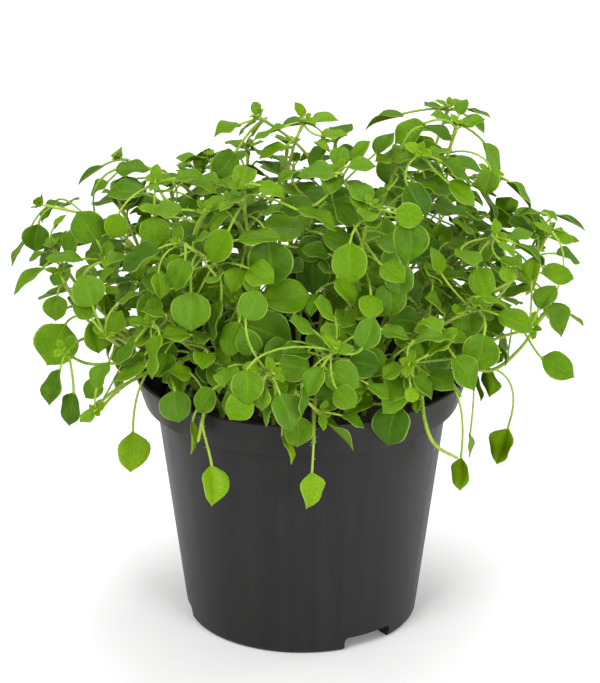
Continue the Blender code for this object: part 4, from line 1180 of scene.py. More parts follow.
def pair_leaf(point, ahead, turn, length, stalk, owner, crowd, rng, limit):
    """One leaf of a pair: where it can't be clear, it is tried turned, raised and shorter."""
    side = ahead.orthogonal().normalized()
    other = ahead.cross(side)
    out = outward(point)
    for attempt in range(PAIR_TRIES):
        loose = 0.15 + attempt * 0.05
        angle = turn + rng.uniform(-1, 1) * loose * 1.5
        away = side * math.cos(angle) + other * math.sin(angle)
        size = length * rng.uniform(0.85, 1.15) * (1 - 0.012 * attempt)
        reach = stalk * rng.uniform(0.7, 1.3) + 1.2
        leave = (away + ahead * rng.uniform(0.5, 1.1) + out * 0.3).normalized()
        base = point + leave * reach
        axis = (away + out * rng.uniform(0.1, 0.7) - UP * rng.uniform(*LEAF_HANGS)).normalized()
        normal = upward_normal(out, rng)
        if abs(normal.normalized().dot(axis)) > 0.93:  # too near to edge-on to stand up
            continue
        if leave.dot(axis) < LEAST_STRAIGHT:
            continue
        bend = point + leave * reach * 0.55 + UP * 0.06 * reach
        width = size * rng.uniform(0.78, 0.9)
        leaf = Leaf(point, bend, base, axis, normal, size, width, rng.uniform(*LEAF_DROOPS))
        if crowding(leaf.midrib(MIDDLE)[0]) < limit and leaf_is_clear(leaf, owner, crowd):
            return leaf
    return None


def grow_plant():
    """Every stem with its leaves: first those of the solids, and then the smaller ones."""
    crowd = Crowd()
    crowd.add(*rim_solid(), RIM)
    stems = grow_stems(crowd)
    crowd.add(*soil_solid(), SOIL)
    place_front_leaves(stems, crowd, FRONT_LEAVES, FRONT_SEED)
    place_pairs(stems, crowd, PAIR_STEPS, MOST_PAIR_LEAVES, PAIR_SEED, 0)
    place_front_leaves(stems, crowd, SMALL_FRONT_LEAVES, SMALL_SEED)
    place_buds(stems, crowd)
    place_pairs(stems, crowd, MORE_PAIR_STEPS, MOST_MORE_LEAVES, MORE_SEED, DEEP_CROWDING)
    place_deep_leaves(stems, crowd)
    return stems


def is_airy(point):
    """True near the mound's top, and further under it at the back and the left."""
    top = np.interp(point.x, MOUND_TOPS_AT, MOUND_TOPS)
    return point.z + AIRY_BACK * point.y > top - np.interp(point.x, AIRY_AT, AIRY_DEPTHS)


def place_deep_leaves(stems, crowd):
    """Leaves under the mound's surface, where a stem is near and there is room."""
    rng = random.Random(DEEP_SEED)
    spots = Spots(stems)
    left = MOST_DEEP_LEAVES
    for _ in range(DEEP_TRIES):
        if not left:
            break
        polar = math.acos(1 - rng.uniform(0, DEEP_LOWEST_POLAR))
        turn = rng.uniform(0, math.tau)
        centre = mound_point(turn, polar, rng.uniform(*DEEP_DEPTHS))
        lowest = LOWEST_DEEP[centre.y < 0]
        if centre.z < lowest or centre.z > HIGHEST_DEEP or abs(centre.x) > DEEP_REACH_X:
            continue
        if is_airy(centre):
            continue
        away = Vector((math.cos(turn), math.sin(turn), 0))
        away += Vector([rng.uniform(-1, 1) for _ in range(3)]) * DEEP_SCATTER
        normal = upward_normal(outward(centre), rng)
        axis = (away.normalized() - UP * rng.uniform(*LEAF_HANGS)).normalized()
        if abs(normal.normalized().dot(axis)) > DEEP_EDGE_ON:
            continue
        length = rng.uniform(*DEEP_LENGTHS)
        width = length * rng.uniform(*DEEP_WIDTHS)
        blade = (axis, normal, length, width, rng.uniform(*LEAF_DROOPS))
        base = centre - axis * (MIDDLE * length)
        leaf, owner = leaf_on_best_spot(base, blade, DEEP_STALK, spots, crowd)
        if leaf:
            keep_leaf(leaf, owner, stems, crowd)
            spots.load += LOAD_COST * (spots.owners == owner)
            left -= 1


def place_buds(stems, crowd):
    """Two pairs of small leaves that close round the tip of each shoot."""
    rng = random.Random(BUD_SEED)
    for owner, stem in enumerate(stems):
        for path in stem.paths:
            tip = path[-1]
            if tip.z < LOWEST_BUD:
                continue
            ahead = (tip - path[-2]).normalized()
            ahead = (ahead + UP * BUD_RISE).normalized()
            side = ahead.orthogonal().normalized()
            other = ahead.cross(side)
            turn = rng.uniform(0, math.tau)
            for k, pair in enumerate(BUD_PAIRS):
                start = turn + k * math.pi / 2
                for angle in (start, start + math.pi):
                    angle += rng.uniform(-BUD_LOOSE, BUD_LOOSE)
                    away = side * math.cos(angle) + other * math.sin(angle)
                    leaf = bud_leaf(tip, ahead, away, pair, rng.uniform(*BUD_SIZES))
                    if leaf.axis.dot((leaf.base - leaf.root).normalized()) < LEAST_STRAIGHT:
                        continue
                    if not crowd.meets(*leaf.solid(), others_of=owner):
                        keep_leaf(leaf, owner, stems, crowd)


def bud_leaf(tip, ahead, away, pair, size):
    """One leaf of a bud: how closed, how far out and how far up it is depends on its pair."""
    length, closed, out, up = pair
    axis = (ahead * closed + away).normalized()
    base = tip + away * out + ahead * up
    root = tip - ahead * BUD_ROOT
    length *= size
    return Leaf(root, tip, base, axis, ahead - away, length, length * BUD_WIDTH, BUD_DROOP)


class Mesh:
    """Points, triangles, material slots and named values of a mesh that is put together."""

    VALUES = ("tone", "young", "along", "across")

    def __init__(self):
        self.points = []
        self.faces = []
        self.slots = []
        self.values = {name: [] for name in self.VALUES}
        self.count = 0

    def add(self, points, faces, slot, **values):
        """Adds a body: its points, its triangles, and each value for all points or one by one."""
        points = np.asarray(points, float)
        faces = np.asarray(faces, int)
        self.points.append(points)
        self.faces.append(faces + self.count)
        self.slots.append(np.broadcast_to(slot, len(faces)))
        for name, rows in self.values.items():
            rows.append(np.broadcast_to(values.get(name, 0.0), len(points)))
        self.count += len(points)

    def make(self, name, materials):
        """The object, in the scene, in metres and with smooth faces."""
        points = np.concatenate(self.points) * MM
        faces = np.concatenate(self.faces)
        mesh = bpy.data.meshes.new(name)
        mesh.vertices.add(len(points))
        mesh.vertices.foreach_set("co", points.ravel())
        mesh.loops.add(faces.size)
        mesh.loops.foreach_set("vertex_index", faces.ravel())
        mesh.polygons.add(len(faces))
        mesh.polygons.foreach_set("loop_start", np.arange(0, faces.size, 3))
        mesh.polygons.foreach_set("material_index", np.concatenate(self.slots))
        for value, rows in self.values.items():
            kept = mesh.attributes.new(value, "FLOAT", "POINT")
            kept.data.foreach_set("value", np.concatenate(rows))
        mesh.update(calc_edges=True)
        mesh.validate()
        mesh.shade_smooth()
        for look in materials:
            mesh.materials.append(look)
        made = bpy.data.objects.new(name, mesh)
        bpy.context.scene.collection.objects.link(made)
        return made


def grid_faces(rows, columns, closed):
    """Triangles of a grid of points, row after row, and round it where it is closed."""
    i, j = np.meshgrid(np.arange(rows - 1), np.arange(columns - (not closed)), indexing="ij")
    a = (i * columns + j).ravel()
    b = (i * columns + (j + 1) % columns).ravel()
    return np.concatenate(
        [np.stack([a, b, b + columns], 1), np.stack([a, b + columns, a + columns], 1)]
    )


def tube(rings):
    """A closed tube through rings of points, which an array holds as ring, point and axis."""
    rows, sides = rings.shape[:2]
    ends = np.stack([rings[0].mean(0), rings[-1].mean(0)])
    points = np.concatenate([rings.reshape(-1, 3), ends])
    k = np.arange(sides)
    after = (k + 1) % sides
    first = np.full(sides, rows * sides)
    low = np.stack([first, after, k], 1)
    high = np.stack([first + 1, (rows - 1) * sides + k, (rows - 1) * sides + after], 1)
    return points, np.concatenate([grid_faces(rows, sides, True), low, high])


def blade_faces(rows):
    """Triangles of a closed blade: the upper grid, the lower one that shares its margins."""
    columns = len(COLUMNS)
    upper = np.arange(rows * columns).reshape(rows, columns)
    lower = upper.copy()
    lower[:, 1:-1] = rows * columns + np.arange(rows * (columns - 2)).reshape(rows, -1)
    flat = grid_faces(rows, columns, False)
    top = upper.ravel()[flat]
    bottom = lower.ravel()[flat][:, ::-1]
    ends = []
    for row, order in ((0, 1), (rows - 1, -1)):
        for j in range(columns - 1):
            a, b = upper[row, j], upper[row, j + 1]
            c, d = lower[row, j + 1], lower[row, j]
            for face in ((a, d, c), (a, c, b)):
                if len(set(face)) == 3:
                    ends.append(face[::order])
    return top, np.concatenate([bottom, np.array(ends)])


BLADE_FACES = {rows: blade_faces(rows) for rows in (BLADE_ROWS, SMALL_ROWS)}


def fine_outline(t, taper):
    """The blade's half width at t as a share of the most: a tapered base and a small point."""
    rounded = np.maximum(0, 1 - (2 * t**WIDEST_LOW - 1) ** 2) ** ROUNDNESS
    to_tip = np.clip((t - TIP_FROM) / TIP_SPAN, 0, 1)
    to_base = np.clip(1 - t / (BASE_SPAN + BASE_SPAN_TAPERED * taper), 0, 1)
    narrowing = (BASE_NARROW + BASE_NARROW_TAPERED * taper) * to_base ** (2 - taper)
    return rounded ** (1 + TIP_NARROW * to_tip**2 + narrowing)


def blade_surface(leaf, rng, t, v, taper):
    """The blade's upper side at t along and v across, and its normals: folded, wavy and bent."""
    base, axis, side = np.array(leaf.base), np.array(leaf.axis), np.array(leaf.side)
    normal = np.array(leaf.normal)
    least = NECK_HALF * (1 - t) ** 2 + TIP_HALF
    half = np.maximum(fine_outline(t, taper) * leaf.width / 2, least)
    away = np.abs(v)
    fold = rng.uniform(*FOLDS)
    wave = rng.uniform(*WAVES) * leaf.length
    phase = rng.uniform(0, math.tau)
    cup = rng.uniform(*CUPS) * leaf.length
    height = fold * half * (FOLD_RISE * away - FOLD_FLATTEN * away**2) - BLADE_SUNK
    swing = np.sin(t * WAVE_RATE + phase + np.sign(v) * WAVE_SHIFT)
    height = height + wave * away**2 * swing * np.sin(np.pi * t)
    height = height + cup * (t - 0.5) ** 2 * (1 - away * CUP_EASE)
    bent = np.clip(t - NOD_FROM, 0, 1) ** 2
    height = height - NOD * leaf.length * bent * rng.uniform(0, MOST_NOD)
    twist = rng.uniform(-TWIST, TWIST)
    bow = rng.uniform(-BOW, BOW) * leaf.length * np.sin(np.pi * t) ** 2
    out = leaf.droop * leaf.length
    up = normal + axis * (2 * leaf.droop * t)[..., None]
    up = up / np.linalg.norm(up, axis=-1, keepdims=True)
    turn = (twist * (t - TWIST_FROM))[..., None]
    beside = side * np.cos(turn) + up * np.sin(turn)
    raised = up * np.cos(turn) - side * np.sin(turn)
    middle = base + axis * (leaf.length * t)[..., None] - normal * (out * t * t)[..., None]
    top = middle + beside * (half * v + bow)[..., None] + raised * height[..., None]
    return top, raised


def add_blade(mesh, leaf, rng, tone, young, taper):
    """The leaf's blade, with its fold along the midrib, its waves and its bent tip."""
    rows = BLADE_ROWS if leaf.length > SMALL_LEAF else SMALL_ROWS
    step = np.linspace(0, 1, rows)
    t = (step * EVEN_ROWS + (1 - np.cos(np.pi * step)) / 2 * EASED_ROWS)[:, None]
    v = np.array(COLUMNS)[None, :]
    top, raised = blade_surface(leaf, rng, t, v, taper)
    rib = MIDRIB_THICK * (1 - MIDRIB_TAPER * t) * np.exp(-((v / MIDRIB_HALF) ** 2))
    thick = (BLADE_THICK + rib) * (np.abs(v) < MARGIN)
    bottom = (top - raised * thick[..., None])[:, 1:-1]
    points = np.concatenate([top.reshape(-1, 3), bottom.reshape(-1, 3)])
    along = np.broadcast_to(t, top.shape[:2])
    across = np.broadcast_to(v, top.shape[:2])
    values = {
        "tone": tone,
        "young": young,
        "along": np.concatenate([along.ravel(), along[:, 1:-1].ravel()]),
        "across": np.concatenate([across.ravel(), across[:, 1:-1].ravel()]),
    }
    upper, under = BLADE_FACES[rows]
    slots = np.array([UPPER] * len(upper) + [UNDER] * len(under))
    mesh.add(points, np.concatenate([upper, under]), slots, **values)


def tube_frames(path, first_side):
    """Each point's sideways and upward directions on a path, with as little turn as can be."""
    ahead = np.gradient(path, axis=0)
    ahead = ahead / np.linalg.norm(ahead, axis=1, keepdims=True)
    sides = []
    side = first_side
    for way in ahead:
        side = side - way * side.dot(way)
        side = side / np.linalg.norm(side)
        sides.append(side)
    sides = np.array(sides)
    return sides, np.cross(ahead, sides)


def rings_round(path, sides, others, radius, count, flatten=1.0):
    """Rings of points round each point of a path, flatter one way where asked for."""
    angles = np.arange(count) * math.tau / count
    ring = sides[:, None] * np.cos(angles)[None, :, None]
    ring = ring + others[:, None] * np.sin(angles)[None, :, None] * flatten
    return path[:, None] + ring * radius[:, None, None]


def add_stalk(mesh, leaf, root, tone, young):
    """The leaf's stalk, a tapered tube from its stem that flattens into the blade."""
    start, end = np.array(root), np.array(leaf.base)
    bend, axis = np.array(leaf.bend), np.array(leaf.axis)
    stretch = np.linalg.norm(end - start)
    first = start + (bend - start) * (2 / 3)
    second = (end + (bend - end) * (2 / 3) + end - axis * stretch * STALK_EASE) / 2
    s = np.linspace(0, 1, STALK_ROWS)[:, None]
    path = start * (1 - s) ** 3 + first * 3 * s * (1 - s) ** 2
    path = path + second * 3 * s * s * (1 - s) + end * s**3
    path = np.vstack([path, end + axis * leaf.length * STALK_INTO_BLADE])
    s = np.append(s.ravel(), STALK_AT[-1])
    sides, others = tube_frames(path, np.array(leaf.side))
    small = min(1.0, SMALL_STALK + leaf.length / SMALL_STALK_LENGTH)
    radius = np.interp(s, STALK_AT, STALK_RADII) * small
    points, faces = tube(rings_round(path, sides, others, radius, STALK_SIDES, STALK_FLAT))
    along = np.append(np.repeat(s, STALK_SIDES), (0, 1))
    mesh.add(points, faces, STALK, tone=tone, young=young, along=along)
    return path[:-1], radius


def add_shoot(mesh, corners, shoot, joints, tone):
    """One shoot: a round tapered tube that swells where leaves leave it. Gives its path."""
    path = np.array(smooth_path(corners, STEM_STEPS))
    gone = np.concatenate([[0], np.cumsum(np.linalg.norm(np.diff(path, axis=0), axis=1))])
    share = gone / gone[-1]
    first, last = (STEM_BASE_R, STEM_END_R) if shoot == 0 else (SIDE_BASE_R, SIDE_END_R)
    radius = first + (last - first) * share
    for joint in joints:
        apart = np.linalg.norm(path - np.array(joint), axis=1)
        radius = radius + 0.5 * JOINT_SWELL * np.exp(-((apart / JOINT_REACH) ** 2))
    radius = np.minimum(radius, first + JOINT_SWELL)
    radius[-1] = SHOOT_TIP_R
    sides, others = tube_frames(path, np.array((path[1] - path[0])[[1, 2, 0]]))
    points, faces = tube(rings_round(path, sides, others, radius, STEM_SIDES))
    along = np.append(np.repeat(share, STEM_SIDES), (0, 1))
    mesh.add(points, faces, STEM, tone=tone, young=SIDE_YOUNG * (shoot > 0), along=along)
    return path, radius


def hair_faces():
    """Triangles of a spike: a ring at its root, a ring at its knee and its tip."""
    faces = [(0, 2, 1)]
    for k in range(3):
        after = (k + 1) % 3
        faces += [(k, after, after + 3), (k, after + 3, k + 3)]
    faces += [(k + 3, (k + 1) % 3 + 3, 6) for k in range(3)]
    return np.array(faces)


HAIR_FACES = hair_faces()


def add_hairs(mesh, path, radius, density, rng):
    """Fine hairs that stand out of a tube, each a thin closed spike."""
    lengths = np.linalg.norm(np.diff(path, axis=0), axis=1)
    count = int(lengths.sum() * density)
    if count < 1:
        return
    at = np.sort(rng.random(count)) * lengths.sum()
    gone = np.concatenate([[0], np.cumsum(lengths)])
    i = np.clip(np.searchsorted(gone, at) - 1, 0, len(lengths) - 1)
    share = ((at - gone[i]) / lengths[i])[:, None]
    place = path[i] * (1 - share) + path[i + 1] * share
    keep = place[:, 2] > SOIL_TOP + 1
    place, i = place[keep], i[keep]
    if not len(place):
        return
    ahead = (path[i + 1] - path[i]) / lengths[i][:, None]
    out = rng.normal(size=place.shape)
    out -= ahead * (out * ahead).sum(1)[:, None]
    out /= np.linalg.norm(out, axis=1)[:, None]
    beside = np.cross(ahead, out)
    root = place + out * radius[i][:, None] * HAIR_SUNK
    size = rng.uniform(*HAIR_LENGTHS, len(place))[:, None]
    lean = ahead * rng.normal(0, HAIR_LEANS[0], len(place))[:, None]
    lean = lean + beside * rng.normal(0, HAIR_LEANS[1], len(place))[:, None]
    knee = root + (out + lean * 0.3) * size * HAIR_KNEE
    tip = root + (out + lean) * size
    ring = [
        ahead * HAIR_R,
        (beside * 0.87 - ahead * 0.5) * HAIR_R,
        (-beside * 0.87 - ahead * 0.5) * HAIR_R,
    ]
    rows = [root + r for r in ring] + [knee + r * HAIR_KNEE_THICK for r in ring] + [tip]
    points = np.stack(rows, 1)
    faces = HAIR_FACES[None] + (np.arange(len(points)) * len(rows))[:, None, None]
    mesh.add(points.reshape(-1, 3), faces.reshape(-1, 3), HAIR)


def make_stem(name, stem, number, looks):
    """A leafy stem in full: its shoots, stalks, blades and hairs, in place of its solid."""
    rng = np.random.default_rng(SHAPE_SEED * 1000 + number)
    hair_rng = np.random.default_rng(HAIR_SEED * 1000 + number)
    mesh = Mesh()
    stem_tone = rng.uniform(0, 1)
    roots = [leaf.root for leaf in stem.leaves]
    paths = []
    for shoot, corners in enumerate(stem.shoots):
        near = [
            root for root in roots
            if min((root - point).length for point in stem.paths[shoot]) < JOINT_ON_SHOOT
        ]
        path, radius = add_shoot(mesh, corners, shoot, near, stem_tone)
        add_hairs(mesh, path, radius, STEM_HAIRS, hair_rng)
        paths.append(path)
    along_stem = np.concatenate(paths)
    for leaf in stem.leaves:
        root = along_stem[np.argmin(np.linalg.norm(along_stem - np.array(leaf.root), axis=1))]
        if np.linalg.norm(root - np.array(leaf.root)) > ROOT_OFF_STEM:
            root = np.array(leaf.root)
        tone = rng.uniform(0, 1)
        young = YOUNG_FROM - leaf.length / YOUNG_LENGTH + rng.normal(0, YOUNG_SPREAD)
        young = float(np.clip(young, 0, 1))
        hangs = leaf.base.z < POT_HEIGHT
        # Leaves that hang below the rim take the brightest colour, partly because older low leaves
        # are paler and partly as painted light that lifts the shade they hang in
        if hangs:
            young = 1.0
        path, radius = add_stalk(mesh, leaf, root, tone, young)
        add_hairs(mesh, path, radius, STALK_HAIRS, hair_rng)
        add_blade(mesh, leaf, rng, tone, young, 1.0 if hangs else rng.uniform(0, MOST_TAPER))
    made = mesh.make(name + "_fine", looks)
    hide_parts(name)
    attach(made, "root")


class Look:
    """A material and short ways to add and join its nodes."""

    def __init__(self, name, roughness, shine=0.5):
        self.material = bpy.data.materials.new(name)
        self.material.use_nodes = True
        self.tree = self.material.node_tree
        self.shader = self.tree.nodes["Principled BSDF"]
        self.shader.inputs["Roughness"].default_value = roughness
        self.shader.inputs["Specular IOR Level"].default_value = shine

    def add(self, kind, inputs, **settings):
        """A node with its settings, and its inputs by name or place, values or sockets."""
        node = self.tree.nodes.new(kind)
        for key, value in settings.items():
            setattr(node, key, value)
        for key, value in inputs.items():
            if isinstance(value, bpy.types.NodeSocket):
                self.tree.links.new(value, node.inputs[key])
            else:
                node.inputs[key].default_value = value
        return node

    def math(self, operation, a, b=0.0):
        """The result of one operation on one or two values."""
        return self.add("ShaderNodeMath", {0: a, 1: b}, operation=operation).outputs[0]

    def ramp(self, value, low, high, first=0.0, last=1.0):
        """The value spread smoothly from low and high to first and last."""
        inputs = {0: value, 1: low, 2: high, 3: first, 4: last}
        return self.add("ShaderNodeMapRange", inputs, interpolation_type="SMOOTHSTEP").outputs[0]

    def mix(self, share, first, second):
        """Two colours mixed."""
        colours = [c if isinstance(c, bpy.types.NodeSocket) else (*c, 1) for c in (first, second)]
        inputs = {0: share, 6: colours[0], 7: colours[1]}
        return self.add("ShaderNodeMix", inputs, data_type="RGBA").outputs[2]

    def value(self, name):
        """A value kept on the mesh's points."""
        return self.add("ShaderNodeAttribute", {}, attribute_name=name).outputs["Fac"]

    def place(self):
        """The point's place in the object, in metres."""
        return self.add("ShaderNodeTexCoord", {}).outputs["Object"]

    def noise(self, scale, detail=2.0, roughness=0.5, place=None):
        """Soft noise of this scale."""
        inputs = {"Scale": scale, "Detail": detail, "Roughness": roughness}
        inputs["Vector"] = place or self.place()
        return self.add("ShaderNodeTexNoise", inputs).outputs[0]

    def cells(self, scale):
        """How far the nearest of many scattered points is."""
        inputs = {"Scale": scale, "Vector": self.place()}
        return self.add("ShaderNodeTexVoronoi", inputs).outputs[0]

    def bump(self, height, distance, strength, under=None):
        """Normals of a relief, on top of another's where that is given."""
        inputs = {"Height": height, "Distance": distance, "Strength": strength}
        if under:
            inputs["Normal"] = under
        return self.add("ShaderNodeBump", inputs).outputs[0]

    def set(self, **sockets):
        """Links or sets the shader's sockets, by their names with _ for a space."""
        for key, value in sockets.items():
            socket = self.shader.inputs[key.replace("_", " ")]
            if isinstance(value, bpy.types.NodeSocket):
                self.tree.links.new(value, socket)
            else:
                socket.default_value = value
        return self.material

    def let_through(self, share, colour):
        """Lets part of the light through, as a thin leaf does."""
        glow = self.add("ShaderNodeBsdfTranslucent", {"Color": colour})
        both = self.add(
            "ShaderNodeMixShader", {0: share, 1: self.shader.outputs[0], 2: glow.outputs[0]}
        )
        end = self.tree.nodes["Material Output"]
        self.tree.links.new(both.outputs[0], end.inputs["Surface"])


def leaf_veins(look):
    """Where the midrib, the side veins and the margin are, each from 0 to 1."""
    along, across = look.value("along"), look.value("across")
    away = look.math("ABSOLUTE", across)
    midrib = look.ramp(away, 0.015, 0.1, 1.0, 0.0)
    fade = look.ramp(along, 0.35, 0.95, 1.0, 0.25)
    midrib = look.math("MULTIPLY", midrib, fade)
    curve = look.math("POWER", away, VEIN_CURVE)
    slanted = look.math("SUBTRACT", along, look.math("MULTIPLY", curve, VEIN_SLANT))
    beat = look.math("FRACT", look.math("MULTIPLY", slanted, SIDE_VEINS))
    near = look.math("ABSOLUTE", look.math("SUBTRACT", beat, 0.5))
    side = look.ramp(near, 0.0, SIDE_VEIN_WIDTH, 1.0, 0.0)
    side = look.math("MULTIPLY", side, look.ramp(away, 0.6, 0.95, 1.0, 0.0))
    margin = look.ramp(away, 0.9, 0.985)
    return midrib, side, margin


def leaf_look(name, dark, plain, bright, painted_sheen, vein, edge, roughness, through):
    """A leaf's upper or under side."""
    look = Look(name, roughness, LEAF_SHINE)
    tone, young = look.value("tone"), look.value("young")
    midrib, side, margin = leaf_veins(look)
    blotch = look.noise(LEAF_BLOTCHES, 3.0, 0.55)
    spread = look.math("ADD", look.math("MULTIPLY", tone, 0.62), look.math("MULTIPLY", blotch, 0.5))
    colour = look.mix(look.ramp(spread, 0.2, 0.85), dark, plain)
    # Small young leaves mix towards the bright colour; for leaves hanging below the rim this
    # brightening is painted light
    colour = look.mix(look.math("MULTIPLY", young, YOUTH_AND_LIGHT_SHARE), colour, bright)
    # Painted sheen: leaves picked by their tone lean towards a pale bluish colour in place of a
    # reflection of the sky
    chance = look.math("FRACT", look.math("MULTIPLY", tone, PAINTED_SHEEN_CHANCE))
    painted_sheen_share = look.ramp(chance, 0.72, 0.8, 0.0, 0.5)
    colour = look.mix(painted_sheen_share, colour, painted_sheen)
    grain = look.noise(LEAF_GRAINS, 3.0, 0.6)
    colour = look.mix(look.ramp(grain, 0.35, 0.62, 0.34, 0.0), colour, dark)
    colour = look.mix(look.ramp(look.cells(LEAF_CELLS), 0.0, 0.35, 0.16, 0.0), colour, edge)
    for where, share, shade in (
        (side, SIDE_VEIN_SHARE, vein),
        (midrib, MIDRIB_SHARE, vein),
        (margin, MARGIN_SHARE, edge),
    ):
        colour = look.mix(look.math("MULTIPLY", where, share), colour, shade)
    low = look.math("ADD", look.math("MULTIPLY", midrib, -1.0), look.math("MULTIPLY", side, -0.35))
    veined = look.bump(low, VEIN_RELIEF, 0.5)
    look.set(Base_Color=colour, Normal=look.bump(grain, LEAF_GRAIN, 0.7, veined))
    look.set(Roughness=look.ramp(blotch, 0.3, 0.7, roughness - 0.06, roughness + 0.08))
    look.let_through(through, colour)
    return look.material


def stem_look(name, plain, pale, dark, dark_from):
    """A stem's or stalk's skin: yellow green with fine lines, and dark where it is old."""
    look = Look(name, 0.45, LEAF_SHINE)
    tone, young, along = look.value("tone"), look.value("young"), look.value("along")
    blotch = look.noise(STEM_BLOTCHES, 3.0)
    # Side shoots and young stalks are paler; on the stalks of leaves hanging below the rim this
    # paleness is painted light
    paler = look.math("ADD", blotch, look.math("MULTIPLY", young, 0.4))
    colour = look.mix(look.ramp(paler, 0.3, 0.9), plain, pale)
    old = look.math("SUBTRACT", tone, look.math("MULTIPLY", along, 0.35))
    old = look.ramp(old, dark_from, dark_from + 0.14)
    colour = look.mix(look.math("MULTIPLY", old, 0.8), colour, dark)
    lines = look.bump(look.noise(STEM_LINES, 2.0), STEM_GRAIN, 0.6)
    look.set(Base_Color=colour, Normal=lines)
    look.let_through(STEM_THROUGH, colour)
    return look.material


def hair_look():
    """Nearly white, as fine hairs look."""
    look = Look("hair", 0.4)
    return look.set(Base_Color=look.mix(look.noise(HAIR_SHADES), *HAIR_COLOURS))


def soil_look():
    """Dark peat with lighter grains and fibres, damp in places."""
    look = Look("peat", 0.9)
    clods = look.noise(PEAT_CLODS, 6.0, 0.65)
    grains = look.cells(PEAT_GRAINS)
    colour = look.mix(look.ramp(clods, 0.3, 0.75), PEAT_DARK, PEAT_PLAIN)
    colour = look.mix(look.ramp(grains, 0.0, 0.5, 0.4, 0.0), colour, PEAT_GRAIN)
    specks = look.ramp(look.noise(PEAT_SPECKS, 1.0), 0.7, 0.76)
    colour = look.mix(look.math("MULTIPLY", specks, 0.6), colour, PEAT_SPECK)
    rough = look.ramp(look.noise(PEAT_DAMP), 0.35, 0.65, 0.7, 1.0)
    height = look.math("ADD", clods, look.math("MULTIPLY", grains, -0.5))
    relief = look.bump(height, PEAT_RELIEF, 0.9)
    return look.set(Base_Color=colour, Roughness=rough, Normal=relief)


def crumb_look():
    """Bits of bark and peat, each of its own brown."""
    look = Look("bark_crumbs", 0.85)
    tone = look.value("tone")
    colour = look.mix(tone, BARK_DARK, BARK_PLAIN)
    colour = look.mix(look.ramp(tone, 0.9, 0.96), colour, BARK_LIGHT)
    stain = look.ramp(look.noise(BARK_STAINS, 4.0), 0.35, 0.7, 0.0, 0.6)
    colour = look.mix(stain, colour, BARK_STAIN)
    relief = look.bump(look.noise(BARK_GRAINS, 3.0), BARK_RELIEF, 0.8)
    return look.set(Base_Color=colour, Normal=relief)


def pot_look():
    """Charcoal plastic, moulded with faint upright flow lines, fine grain and a little dust."""
    look = Look("moulded_plastic", 0.5, POT_SHINE)
    place = look.place()
    parts = look.add("ShaderNodeSeparateXYZ", {0: place}).outputs
    turn = look.math("ARCTAN2", parts[0], parts[1])
    wrapped = {
        0: look.math("SINE", turn),
        1: look.math("COSINE", turn),
        2: look.math("MULTIPLY", parts[2], 0.9),
    }
    round_it = look.add("ShaderNodeCombineXYZ", wrapped).outputs[0]
    broad = look.noise(POT_CLOUDS, 3.0, 0.6, round_it)
    fine = look.noise(POT_LINES, 3.0, 0.6, round_it)
    grain = look.noise(POT_GRAINS, 2.0, 0.6, place)
    colour = look.mix(look.ramp(broad, 0.3, 0.7), POT_DARK, POT_PLAIN)
    colour = look.mix(look.ramp(fine, 0.4, 0.75, 0.0, 0.18), colour, POT_STREAK)
    dust = look.ramp(look.noise(POT_SPECKS, 4.0, 0.7, place), 0.64, 0.74)
    low = look.ramp(parts[2], 0.0, 0.03, 1.0, 0.25)
    dusty = look.math("MULTIPLY", dust, look.math("MULTIPLY", low, 0.3))
    colour = look.mix(dusty, colour, POT_DUST)
    rough = look.ramp(broad, 0.25, 0.75, 0.4, 0.5)
    lines = look.bump(fine, POT_LINE_RELIEF, 0.2)
    relief = look.bump(grain, POT_GRAIN_RELIEF, 0.5, lines)
    return look.set(Base_Color=colour, Roughness=rough, Normal=relief)


def turned(name, profile, sides):
    """A solid turned round the upright axis, from a profile that starts and ends on it."""
    points = [Vector((0, 0, profile[0][1])), Vector((0, 0, profile[-1][1]))]
    rings = profile[1:-1]
    for radius, height in rings:
        for k in range(sides):
            angle = math.tau * k / sides
            points.append(Vector((radius * math.cos(angle), radius * math.sin(angle), height)))
    faces = []
    last = 2 + (len(rings) - 1) * sides
    for k in range(sides):
        after = (k + 1) % sides
        faces.append((0, 2 + after, 2 + k))
        faces.append((1, last + k, last + after))
        for ring in range(len(rings) - 1):
            a, b = 2 + ring * sides + k, 2 + ring * sides + after
            faces.append((a, b, b + sides, a + sides))
    return mesh_object(name, points, faces)


def mesh_object(name, points, faces):
    """An object in the scene from points in millimetres."""
    mesh = bpy.data.meshes.new(name)
    mesh.from_pydata([point * MM for point in points], [], faces)
    mesh.update()
    made = bpy.data.objects.new(name, mesh)
    bpy.context.scene.collection.objects.link(made)
    return made


def cut(target, others):
    """Cuts the other objects from the target, and removes them."""
    group = bpy.data.collections.new(target.name + "_cuts")
    bpy.context.scene.collection.children.link(group)
    for other in others:
        bpy.context.scene.collection.objects.unlink(other)
        group.objects.link(other)
    step = target.modifiers.new("cut", "BOOLEAN")
    step.operation = "DIFFERENCE"
    step.operand_type = "COLLECTION"
    step.collection = group
    step.solver = "EXACT"
    graph = bpy.context.evaluated_depsgraph_get()
    made = bpy.data.meshes.new_from_object(target.evaluated_get(graph))
    target.modifiers.clear()
    target.data = made
    for other in others:
        bpy.data.objects.remove(other)
    bpy.data.collections.remove(group)


def arc(centre_r, centre_z, radius, start, end, steps):
    """Points of a profile on an arc, by angles in degrees from straight out."""
    angles = [math.radians(start + (end - start) * k / steps) for k in range(steps + 1)]
    return [(centre_r + radius * math.cos(a), centre_z + radius * math.sin(a)) for a in angles]


